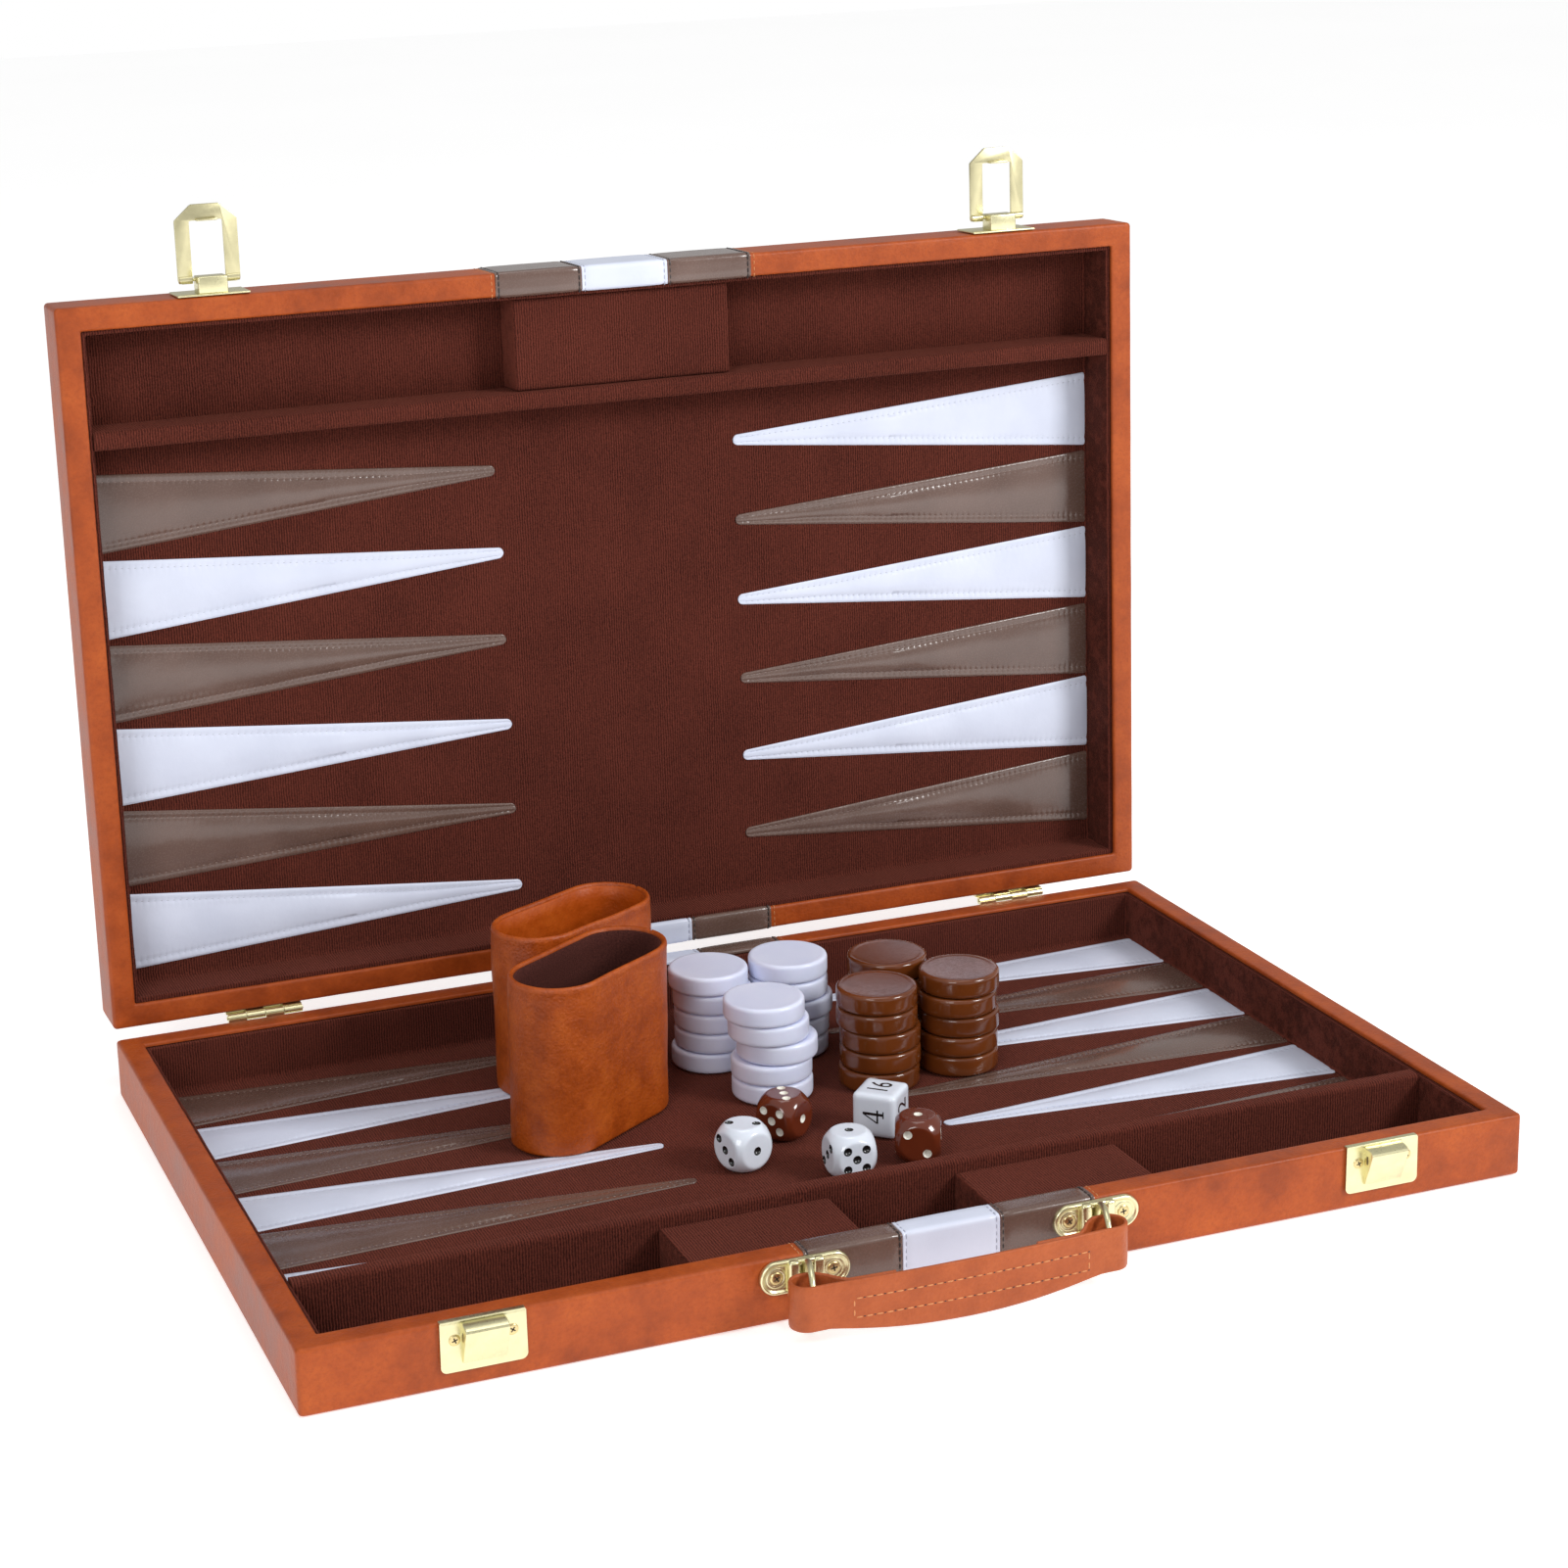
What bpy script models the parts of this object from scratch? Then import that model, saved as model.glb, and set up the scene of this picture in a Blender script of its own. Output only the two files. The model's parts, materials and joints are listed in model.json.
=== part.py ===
"""A folding travel backgammon set: a hinged two-tray case, its fittings, cups, dice and checkers.

Metres, +Z up. The origin is the centre of the lower tray's underside; the hinges are at +Y and
the handle and catches at -Y. The lid stands open on its hinge axis.
"""

import math

import bmesh
import bpy
from mathutils import Matrix, Vector

MM = 0.001
GAP = 0.3 * MM

# Trays (the lid is the same tray turned over).
CASE_WIDTH = 457.0 * MM
CASE_DEPTH = 287.6 * MM
TRAY_HEIGHT = 23.6 * MM
RIM_WIDTH = 9.4 * MM
RIM_LIP = 1.6 * MM
WALL_RECESS = 1.9 * MM
FLOOR_BOARD = 1.3 * MM
LINING = 3.4 * MM
LINING_FLOOR = 0.6 * MM
EDGE_ROUND = 0.9 * MM
HALF_X = CASE_WIDTH / 2
HALF_Y = CASE_DEPTH / 2
LINING_TOP = TRAY_HEIGHT - RIM_LIP - GAP
FELT_LEVEL = FLOOR_BOARD + GAP + LINING_FLOOR
INSIDE_X = HALF_X - RIM_WIDTH + WALL_RECESS - GAP - LINING
INSIDE_Y = HALF_Y - RIM_WIDTH + WALL_RECESS - GAP - LINING
PLAY_LEVEL = FELT_LEVEL + 0.55 * MM

# Divider between the field and the trough, and the blocks in the troughs.
DIVIDER_Y = -91.6 * MM
DIVIDER_WIDTH = 7.0 * MM
DIVIDER_TOP = 22.5 * MM
BLOCK_TOP = 18.2 * MM
NOTCH_HALF = 24.5 * MM
NOTCH_FLOOR = 1.0 * MM
LOWER_BLOCK_HALF = 88.2 * MM
UPPER_BLOCK_HALF = 46.0 * MM

# Lid hinge.
CLOSED_GAP = 1.2 * MM
HINGE_Y = HALF_Y + 2.2 * MM
HINGE_Z = TRAY_HEIGHT + CLOSED_GAP / 2
LID_OPEN_DEG = 91.6
HINGE_X = 167.3 * MM
HINGE_WIDTH = 30.8 * MM
KNUCKLES = 4
KNUCKLE_R = 1.6 * MM
PIN_R = 0.6 * MM
PIN_BORE_R = 0.9 * MM
LEAF_THICK = 1.0 * MM
LEAF_LOW = 8.0 * MM
LEAF_HIGH = 22.2 * MM

# Catches on the lower tray and hasps on the lid.
LATCH_X = {"left": -166.8 * MM, "right": 169.0 * MM}
PLATE_THICK = 0.8 * MM
CATCH_WIDTH = 29.0 * MM
CATCH_LOW = 5.9 * MM
CATCH_FLANGE_TOP = TRAY_HEIGHT + 0.8 * MM
KEEPER_LOW = 10.2 * MM
KEEPER_HIGH = 22.2 * MM
KEEPER_BASE_WIDTH = 15.3 * MM
KEEPER_FACE_WIDTH = 11.7 * MM
KEEPER_OUT = 5.1 * MM
HASP_PLATE_WIDTH = 28.4 * MM
HASP_PLATE_LOW = 7.1 * MM
HASP_PLATE_HIGH = 23.4 * MM
HASP_BLOCK_HALF = 5.8 * MM
HASP_BLOCK_OUT = 6.4 * MM
HASP_PIVOT_Y = -(HALF_Y + 6.2 * MM)
HASP_PIVOT_Z = TRAY_HEIGHT - 7.5 * MM
HASP_PIN_R = 0.7 * MM
HASP_HOLE_R = 0.95 * MM
LOOP_THICK = 1.2 * MM
LOOP_HALF = 12.2 * MM
LOOP_WINDOW_HALF = 6.5 * MM
LOOP_TAIL = 1.6 * MM
LOOP_REACH = 28.8 * MM
WINDOW_REACH = 22.4 * MM
LOOP_TIP_HALF = 5.2 * MM
LOOP_SHOULDER = 6.0 * MM
HOOK_HALF = 4.0 * MM
HOOK_DEPTH = 2.6 * MM
HOOK_THICK = 0.8 * MM

# Handle.
BRACKET_X = 54.5 * MM
BRACKET_Z = 16.8 * MM
BRACKET_R = 6.0 * MM
BRACKET_THICK = 1.2 * MM
SCREW_OFFSET = 10.4 * MM
SLOT_HALF = 2.7 * MM
HUMP_HALF = 6.5 * MM
HUMP_OUT = 4.6 * MM
TIE_LOW = 21.2 * MM
BAR_R = 0.75 * MM
BAR_Y = -(HALF_Y + 4.1 * MM)
BAR_Z = 16.6 * MM
RING_R = 9.9 * MM
RING_WIRE_R = 1.1 * MM
RING_Y = -(HALF_Y + GAP + RING_R + RING_WIRE_R)
RING_Z = 15.0 * MM
RING_TILT_DEG = 15.5
STRAP_SHIFT = -RING_R * 2 * math.sin(math.radians(RING_TILT_DEG))
STRAP_THICK = 1.4 * MM
STRAP_HALF_HEIGHT = 8.1 * MM
STRAP_BELLY = 4.6 * MM
BELLY_HALF = 49.0 * MM
STRAP_BOW = 1.6 * MM
STRAP_END = 56.0 * MM
STRAP_FLAT = 5.0 * MM
STRAP_MERGE = 43.0 * MM
LOOP_BACK = 0.8 * MM
LOOP_OUTER_R = (RING_R + RING_WIRE_R + 0.3 * MM + STRAP_THICK - LOOP_BACK) / 2

# Dice cups.
CUP_HEIGHT = 67.0 * MM
CUP_END_R = 18.4 * MM
CUP_HALF_STRAIGHT = 19.5 * MM
CUP_WALL = 2.2 * MM
CUP_FLOOR = 3.0 * MM
CUPS = (
    ("front_dice_cup", -67.2 * MM, 35.9 * MM, 33.0),
    ("rear_dice_cup", -54.4 * MM, 89.2 * MM, 28.5),
)

# Checkers: six stacks of five. Each stack: name, x, y, then the x offset of each piece, bottom first.
CHECKER_R = 15.95 * MM
CHECKER_THICK = 7.85 * MM
CHECKER_ROUND = 0.9 * MM
CHECKER_PITCH = CHECKER_THICK + GAP
CHECKER_SIDES = 24
STACKS = (
    ("white", -2.1, 74.2, (-0.15, 1.3, 1.3, 0.9, -0.7)),
    ("white", 31.4, 73.6, (0.0, 0.6, 2.1, 0.0, 0.0)),
    ("white", 4.6, 33.8, (3.0, 2.8, 5.3, 1.8, 0.0)),
    ("brown", 49.7, 27.3, (0.8, 1.3, 1.3, 0.0, 0.0)),
    ("brown", 86.8, 30.5, (-0.5, -0.7, 0.0, -1.2, 0.0)),
    ("brown", 68.0, 57.9, (0.3, 0.0, -0.3, 0.2, 0.0)),
)

# Dice: name, x, y, size, turn about Z in degrees.
DIE = 17.0
CUBE = 17.2
DICE = (
    ("white_die_1", -29.1, -26.7, DIE, 16.6),
    ("white_die_2", 4.1, -48.6, DIE, -3.4),
    ("brown_die_1", -4.4, -6.9, DIE, 33.6),
    ("brown_die_2", 33.2, -45.9, DIE, -26.4),
    ("doubling_cube", 31.0, -17.3, CUBE, -44.0),
)

COLOURS = {
    "leatherette": ((0.45, 0.10, 0.025), 0.5, 0.0),
    "felt": ((0.09, 0.024, 0.018), 0.95, 0.0),
    "brass": ((0.80, 0.68, 0.38), 0.25, 1.0),
    "white_checker": ((0.80, 0.79, 0.88), 0.35, 0.0),
    "brown_checker": ((0.19, 0.055, 0.018), 0.2, 0.0),
    "white_die": ((0.85, 0.86, 0.90), 0.2, 0.0),
    "brown_die": ((0.17, 0.035, 0.015), 0.2, 0.0),
}


# ---------------------------------------------------------------- helpers


def clear_scene():
    for obj in list(bpy.data.objects):
        bpy.data.objects.remove(obj, do_unlink=True)


def make_collection(name):
    collection = bpy.data.collections.new(name)
    bpy.context.scene.collection.children.link(collection)
    return collection


def make_material(name, slot):
    colour, roughness, metallic = COLOURS[slot]
    material = bpy.data.materials.new(name)
    material.use_nodes = True
    shader = material.node_tree.nodes["Principled BSDF"]
    shader.inputs["Base Color"].default_value = (*colour, 1.0)
    shader.inputs["Roughness"].default_value = roughness
    shader.inputs["Metallic"].default_value = metallic
    return material


def add_part(name, mesh, slot, parent=None, location=(0, 0, 0)):
    """A visible sub-part with its own material, in the set's collection."""
    obj = bpy.data.objects.new(name, mesh)
    if mesh.users > 1:
        obj.data = mesh.copy()
    obj.data.materials.clear()
    obj.data.materials.append(make_material(name, slot))
    PARTS.objects.link(obj)
    obj.location = location
    obj.parent = parent
    return obj


def add_cutter(name, mesh, parent=None, location=(0, 0, 0)):
    obj = bpy.data.objects.new(name, mesh)
    CUTTERS.objects.link(obj)
    obj.hide_render = True
    obj.display_type = "WIRE"
    obj.location = location
    obj.parent = parent
    return obj


def boolean(obj, other, operation):
    modifier = obj.modifiers.new(other.name, "BOOLEAN")
    modifier.operation = operation
    modifier.solver = "EXACT"
    modifier.object = other


def bevel(obj, width, segments=2, angle=30.0):
    modifier = obj.modifiers.new("Bevel", "BEVEL")
    modifier.width = width
    modifier.segments = segments
    modifier.limit_method = "ANGLE"
    modifier.angle_limit = math.radians(angle)


def mesh_from(name, build):
    """A new mesh filled by build(bmesh)."""
    mesh = bpy.data.meshes.new(name)
    work = bmesh.new()
    build(work)
    bmesh.ops.recalc_face_normals(work, faces=work.faces)
    work.to_mesh(mesh)
    work.free()
    return mesh


def block_in(work, low, high):
    """A box between two corners, added to the bmesh."""
    low, high = Vector(low), Vector(high)
    size = high - low
    matrix = Matrix.Translation((low + high) / 2) @ Matrix.Diagonal((*size, 1.0))
    return bmesh.ops.create_cube(work, size=1.0, matrix=matrix)["verts"]


def box_mesh(name, low, high):
    return mesh_from(name, lambda work: block_in(work, low, high))


def rod_mesh(name, radius, low_x, high_x, centre_y, centre_z, sides=16):
    """A rod along X."""

    def build(work):
        matrix = Matrix.Translation(((low_x + high_x) / 2, centre_y, centre_z))
        matrix = matrix @ Matrix.Rotation(math.pi / 2, 4, "Y")
        bmesh.ops.create_cone(
            work, cap_ends=True, segments=sides, radius1=radius, radius2=radius,
            depth=high_x - low_x, matrix=matrix,
        )

    return mesh_from(name, build)


def prism_mesh(name, outline, thickness):
    """A flat outline in XY, raised along Z by thickness."""

    def build(work):
        face = work.faces.new([work.verts.new((x, y, 0.0)) for x, y in outline])
        grown = bmesh.ops.extrude_face_region(work, geom=[face])["geom"]
        lifted = [item for item in grown if isinstance(item, bmesh.types.BMVert)]
        bmesh.ops.translate(work, verts=lifted, vec=(0.0, 0.0, thickness))

    return mesh_from(name, build)


def arc(centre, radius, start_deg, end_deg, steps):
    angles = [math.radians(start_deg + (end_deg - start_deg) * i / steps) for i in range(steps + 1)]
    return [(centre[0] + radius * math.cos(a), centre[1] + radius * math.sin(a)) for a in angles]


def smooth(obj):
    obj.data.shade_smooth()
    obj.data.set_sharp_from_angle(angle=math.radians(35.0))


# ---------------------------------------------------------------- the two trays


def add_case(name, parent):
    """A shallow tray with a rim that overhangs its inside walls."""
    body = add_part(
        name, box_mesh(name, (-HALF_X, -HALF_Y, 0.0), (HALF_X, HALF_Y, TRAY_HEIGHT)), "leatherette", parent
    )
    bevel(body, EDGE_ROUND)
    mouth_x = HALF_X - RIM_WIDTH
    mouth_y = HALF_Y - RIM_WIDTH
    mouth = add_cutter(
        name + "_mouth",
        box_mesh("mouth", (-mouth_x, -mouth_y, FLOOR_BOARD * 3), (mouth_x, mouth_y, TRAY_HEIGHT * 2)),
        parent,
    )
    wide_x = mouth_x + WALL_RECESS
    wide_y = mouth_y + WALL_RECESS
    cavity = add_cutter(
        name + "_cavity",
        box_mesh("cavity", (-wide_x, -wide_y, FLOOR_BOARD), (wide_x, wide_y, TRAY_HEIGHT - RIM_LIP)),
        parent,
    )
    boolean(body, mouth, "DIFFERENCE")
    boolean(body, cavity, "DIFFERENCE")


def add_lining(name, parent):
    """The felt-covered liner: a thin floor and four thin walls."""
    outer_x = INSIDE_X + LINING
    outer_y = INSIDE_Y + LINING
    floor = FLOOR_BOARD + GAP
    lining = add_part(
        name, box_mesh(name, (-outer_x, -outer_y, floor), (outer_x, outer_y, LINING_TOP)), "felt", parent
    )
    hollow = add_cutter(
        name + "_hollow",
        box_mesh("hollow", (-INSIDE_X, -INSIDE_Y, FELT_LEVEL), (INSIDE_X, INSIDE_Y, TRAY_HEIGHT)),
        parent,
    )
    boolean(lining, hollow, "DIFFERENCE")


def add_divider(name, parent):
    """The felt-covered bar between the playing field and the storage trough."""
    half = INSIDE_X - GAP
    low = (-half, DIVIDER_Y - DIVIDER_WIDTH / 2, FELT_LEVEL + GAP)
    high = (half, DIVIDER_Y + DIVIDER_WIDTH / 2, DIVIDER_TOP)
    divider = add_part(name, box_mesh(name, low, high), "felt", parent)
    bevel(divider, 1.6 * MM, segments=3)


def trough_limits():
    return -INSIDE_Y + GAP, DIVIDER_Y - DIVIDER_WIDTH / 2 - GAP


def add_lower_block(parent):
    """Two raised platforms joined by the floor of the notch between them."""
    front, back = trough_limits()
    base = FELT_LEVEL + GAP
    block = add_part(
        "lower_storage_block",
        box_mesh("block", (-LOWER_BLOCK_HALF, front, base), (LOWER_BLOCK_HALF, back, BLOCK_TOP)),
        "felt",
        parent,
    )
    low = (-NOTCH_HALF, front - GAP, base + NOTCH_FLOOR)
    high = (NOTCH_HALF, back + GAP, TRAY_HEIGHT)
    notch = add_cutter("notch", box_mesh("notch", low, high), parent)
    boolean(block, notch, "DIFFERENCE")


def add_upper_block(parent):
    front, back = trough_limits()
    low = (-UPPER_BLOCK_HALF, front, FELT_LEVEL + GAP)
    block = add_part(
        "upper_storage_block", box_mesh("block", low, (UPPER_BLOCK_HALF, back, BLOCK_TOP)), "felt", parent
    )
    bevel(block, 0.8 * MM)


# ---------------------------------------------------------------- lid hinges


def knuckle_span(index):
    width = HINGE_WIDTH / KNUCKLES
    low = -HINGE_WIDTH / 2 + index * width
    return low + GAP / 2, low + width - GAP / 2


def add_hinge_leaf(name, parent, centre_x, indices, with_pin):
    """A leaf on a tray's back face with every other knuckle; the fixed leaf carries the pin."""
    plate_y = HALF_Y + GAP
    low = (centre_x - HINGE_WIDTH / 2, plate_y, LEAF_LOW)
    high = (centre_x + HINGE_WIDTH / 2, plate_y + LEAF_THICK, LEAF_HIGH)
    leaf = add_part(name, box_mesh(name, low, high), "brass", parent)
    for index in indices:
        start, end = (centre_x + side for side in knuckle_span(index))
        tab = add_cutter(
            f"{name}_tab_{index}",
            box_mesh("tab", (start, plate_y, LEAF_HIGH - LEAF_THICK), (end, plate_y + LEAF_THICK, HINGE_Z)),
            parent,
        )
        barrel = add_cutter(
            f"{name}_barrel_{index}", rod_mesh("barrel", KNUCKLE_R, start, end, HINGE_Y, HINGE_Z, 20), parent
        )
        boolean(leaf, tab, "UNION")
        boolean(leaf, barrel, "UNION")
    start = centre_x - HINGE_WIDTH / 2 - GAP
    end = centre_x + HINGE_WIDTH / 2 + GAP
    radius = PIN_R if with_pin else PIN_BORE_R
    pin = add_cutter(name + "_pin", rod_mesh("pin", radius, start, end, HINGE_Y, HINGE_Z, 12), parent)
    boolean(leaf, pin, "UNION" if with_pin else "DIFFERENCE")


# ---------------------------------------------------------------- catches and hasps


def add_catch(name, centre_x):
    """A screwed plate with a folded top flange and a tapered keeper box."""
    face = -(HALF_Y + GAP)
    half = CATCH_WIDTH / 2

    def build(work):
        block_in(
            work,
            (centre_x - half, face - PLATE_THICK, CATCH_LOW),
            (centre_x + half, face, CATCH_FLANGE_TOP),
        )

    catch = add_part(name, mesh_from(name, build), "brass")
    flange = add_cutter(
        name + "_flange",
        box_mesh(
            "flange",
            (centre_x - half, face - PLATE_THICK / 2, TRAY_HEIGHT + GAP),
            (centre_x + half, face + 2.0 * MM, CATCH_FLANGE_TOP),
        ),
    )
    boolean(catch, flange, "UNION")

    def taper(work):
        corners = block_in(
            work,
            (centre_x - KEEPER_BASE_WIDTH / 2, face - PLATE_THICK - KEEPER_OUT, KEEPER_LOW),
            (centre_x + KEEPER_BASE_WIDTH / 2, face - PLATE_THICK / 2, KEEPER_HIGH),
        )
        ratio = KEEPER_FACE_WIDTH / KEEPER_BASE_WIDTH
        for corner in corners:
            if corner.co.y < face - PLATE_THICK:
                corner.co.x = centre_x + (corner.co.x - centre_x) * ratio
                corner.co.z += 0.4 * MM if corner.co.z < BRACKET_Z else -0.5 * MM

    keeper = add_cutter(name + "_keeper", mesh_from("keeper", taper))
    boolean(catch, keeper, "UNION")


def add_hasp_plate(name, parent, centre_x):
    """The plate and pivot block on the lid's front face, with the hasp's pin."""
    face = -(HALF_Y + GAP)
    half = HASP_PLATE_WIDTH / 2
    low = (centre_x - half, face - PLATE_THICK, HASP_PLATE_LOW)
    plate = add_part(name, box_mesh(name, low, (centre_x + half, face, HASP_PLATE_HIGH)), "brass", parent)
    block = add_cutter(
        name + "_block",
        box_mesh(
            "block",
            (centre_x - HASP_BLOCK_HALF, face - HASP_BLOCK_OUT - PLATE_THICK, HASP_PIVOT_Z - 1.8 * MM),
            (centre_x + HASP_BLOCK_HALF, face - PLATE_THICK / 2, TRAY_HEIGHT - 1.0 * MM),
        ),
        parent,
    )
    reach = LOOP_HALF - 1.5 * MM
    pin = add_cutter(
        name + "_pin",
        rod_mesh("pin", HASP_PIN_R, centre_x - reach, centre_x + reach, HASP_PIVOT_Y, HASP_PIVOT_Z, 12),
        parent,
    )
    boolean(plate, block, "UNION")
    boolean(plate, pin, "UNION")


def hasp_outline():
    """Half of the loop's outline, legs down, from the window's middle round to the tip's middle."""
    inner, outer = LOOP_WINDOW_HALF, LOOP_HALF
    return [
        (0.0, WINDOW_REACH),
        (inner, WINDOW_REACH),
        (inner, -LOOP_TAIL),
        *arc((outer - 1.5 * MM, -LOOP_TAIL + 1.5 * MM), 1.5 * MM, -90.0, 0.0, 3),
        (outer, LOOP_REACH - LOOP_SHOULDER),
        (LOOP_TIP_HALF, LOOP_REACH),
        (0.0, LOOP_REACH),
    ]


def add_hasp(name, pivot):
    """A chamfered loop with two legs on the pin and a hook at the far side of its window."""
    right = hasp_outline()
    left = [(-x, y) for x, y in reversed(right[1:-1])]
    mesh = prism_mesh(name, right + left, LOOP_THICK)
    # The outline's Y is the loop's reach, which points along -Y here.
    mesh.transform(Matrix.Rotation(math.pi, 4, "Z") @ Matrix.Translation((0, 0, -LOOP_THICK / 2)))
    hasp = add_part(name, mesh, "brass", pivot)
    hook = add_cutter(
        name + "_hook",
        box_mesh(
            "hook",
            (-HOOK_HALF, -WINDOW_REACH - HOOK_THICK, 0.0),
            (HOOK_HALF, -WINDOW_REACH, LOOP_THICK / 2 + HOOK_DEPTH),
        ),
        pivot,
    )
    hole = add_cutter(
        name + "_hole", rod_mesh("hole", HASP_HOLE_R, -LOOP_HALF * 2, LOOP_HALF * 2, 0.0, 0.0, 12), pivot
    )
    boolean(hasp, hook, "UNION")
    cheek_half = 1.5 * MM
    for side in (-1, 1):
        middle = side * (LOOP_HALF + LOOP_WINDOW_HALF) / 2
        cheek = add_cutter(
            f"{name}_cheek_{'right' if side > 0 else 'left'}",
            rod_mesh("cheek", LOOP_TAIL, middle - cheek_half, middle + cheek_half, 0.0, 0.0, 16),
            pivot,
        )
        boolean(hasp, cheek, "UNION")
    boolean(hasp, hole, "DIFFERENCE")


# ---------------------------------------------------------------- handle


def add_bracket(name, centre_x):
    """Two screw lobes, two raised humps and the round bar between them that the ring hangs on."""
    face = -(HALF_Y + GAP)
    outline = arc((SCREW_OFFSET, 0.0), BRACKET_R, -90.0, 90.0, 14)
    outline += arc((-SCREW_OFFSET, 0.0), BRACKET_R, 90.0, 270.0, 14)
    mesh = prism_mesh(name, outline, BRACKET_THICK)
    mesh.transform(Matrix.Rotation(math.pi / 2, 4, "X"))
    bracket = add_part(name, mesh, "brass", None, (centre_x, face, BRACKET_Z))

    def part_of(label, low, high):
        mesh = box_mesh(label, low, high)
        return add_cutter(f"{name}_{label}", mesh, None, (centre_x, face, 0.0))

    slot = part_of("slot", (-SLOT_HALF, -10 * MM, 0.0), (SLOT_HALF, 10 * MM, TIE_LOW))
    boolean(bracket, slot, "DIFFERENCE")
    for side in (-1, 1):
        edges = sorted((side * SLOT_HALF, side * HUMP_HALF))
        hump = part_of(
            "hump_right" if side > 0 else "hump_left",
            (edges[0], -HUMP_OUT, BRACKET_Z - BRACKET_R + 0.05 * MM),
            (edges[1], -BRACKET_THICK / 2, BRACKET_Z + BRACKET_R - 0.05 * MM),
        )
        boolean(bracket, hump, "UNION")
        head = rod_mesh("head", 2.6 * MM, -0.9 * MM, 0.9 * MM, 0.0, 0.0, 16)
        head.transform(Matrix.Rotation(math.pi / 2, 4, "Z"))
        screw = add_cutter(
            f"{name}_screw_{'right' if side > 0 else 'left'}",
            head,
            None,
            (centre_x + side * SCREW_OFFSET, face - BRACKET_THICK, BRACKET_Z),
        )
        boolean(bracket, screw, "UNION")
    reach = HUMP_HALF - 1.0 * MM
    bar = add_cutter(
        name + "_bar", rod_mesh("bar", BAR_R, centre_x - reach, centre_x + reach, BAR_Y, BAR_Z, 12)
    )
    boolean(bracket, bar, "UNION")


def add_ring(name, parent, centre_x):
    """A round wire ring through the bracket and the strap's loop, leaning a little sideways."""
    bpy.ops.mesh.primitive_torus_add(
        major_radius=RING_R, minor_radius=RING_WIRE_R, major_segments=36, minor_segments=8
    )
    mesh = bpy.context.object.data
    bpy.data.objects.remove(bpy.context.object, do_unlink=True)
    mesh.transform(Matrix.Rotation(math.pi / 2, 4, "Y"))
    lean = math.radians(RING_TILT_DEG)
    place = (centre_x - RING_R * math.sin(lean), RING_Y - BAR_Y, RING_Z - BAR_Z)
    ring = add_part(name, mesh, "brass", parent, place)
    ring.rotation_euler.z = -lean
    smooth(ring)


def strap_front(x):
    """The front face of the strap, seen from above: bowed out a little between its ends."""
    reach = STRAP_END + LOOP_OUTER_R
    return -(2 * LOOP_OUTER_R + LOOP_BACK) - STRAP_BOW * max(0.0, 1.0 - (x / reach) ** 2) * (
        0.0 if abs(x) > STRAP_END - STRAP_FLAT else 1.0 - (x / (STRAP_END - STRAP_FLAT)) ** 4
    )


def strap_plan():
    """The strap from above: its outside, and the hole in its right-hand loop."""
    centre_y = -(LOOP_OUTER_R + LOOP_BACK)
    centre = (STRAP_END, centre_y)
    flat = STRAP_END - STRAP_FLAT
    steps = 10
    front = [(flat * i / steps, strap_front(flat * i / steps)) for i in range(steps + 1)]
    end = arc(centre, LOOP_OUTER_R, -90.0, 90.0, 12)
    back_level = centre_y + LOOP_OUTER_R
    merged = strap_front(STRAP_MERGE) + 2 * STRAP_THICK
    back = [(flat - 2 * MM, back_level), (STRAP_MERGE, merged)]
    back += [(x, strap_front(x) + 2 * STRAP_THICK) for x in (30 * MM, 15 * MM, 0.0)]
    right = front + end + back
    left = [(-x, y) for x, y in reversed(right) if x > 0]
    inner_r = LOOP_OUTER_R - STRAP_THICK
    hole = arc(centre, inner_r, -90.0, 90.0, 12)
    hole += [(flat - 1.5 * MM, centre_y + inner_r), (STRAP_MERGE + 2.5 * MM, merged - 1.3 * STRAP_THICK)]
    hole += [(flat, centre_y - inner_r)]
    return right + left, hole


def add_strap(parent):
    """A leather band doubled along its middle, with an open loop at each end and a deeper belly.

    It swings about the line through the centres of its two rings.
    """
    outline, hole = strap_plan()
    height = 2 * STRAP_HALF_HEIGHT
    mesh = prism_mesh("carry_strap", outline, height)
    for vertex in mesh.vertices:
        vertex.co.z -= STRAP_HALF_HEIGHT
        if vertex.co.z < 0.0:
            share = min(1.0, abs(vertex.co.x) / BELLY_HALF)
            vertex.co.z -= STRAP_BELLY * (1.0 - share**2)
    place = Vector((STRAP_SHIFT, 0.0, 0.0))
    strap = add_part("carry_strap", mesh, "leatherette", parent, place)
    for side in (-1, 1):
        points = [(side * x, y) for x, y in hole]
        cut = prism_mesh("loop_hole", points, height * 2)
        cutter = add_cutter(
            f"loop_hole_{'right' if side > 0 else 'left'}", cut, parent, place - Vector((0.0, 0.0, height))
        )
        boolean(strap, cutter, "DIFFERENCE")


# ---------------------------------------------------------------- playing pieces


def stadium(half_straight, radius):
    outline = arc((half_straight, 0.0), radius, -90.0, 90.0, 16)
    return outline + arc((-half_straight, 0.0), radius, 90.0, 270.0, 16)


def add_cup(name, x, y, turn_deg):
    """A dice cup: a straight-sided stadium with a floor."""
    cup = add_part(
        name, prism_mesh(name, stadium(CUP_HALF_STRAIGHT, CUP_END_R), CUP_HEIGHT), "leatherette", None,
        (x, y, PLAY_LEVEL),
    )
    cup.rotation_euler.z = math.radians(turn_deg)
    inside = prism_mesh("inside", stadium(CUP_HALF_STRAIGHT, CUP_END_R - CUP_WALL), CUP_HEIGHT)
    cutter = add_cutter(name + "_inside", inside, cup, (0.0, 0.0, CUP_FLOOR))
    boolean(cup, cutter, "DIFFERENCE")


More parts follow.
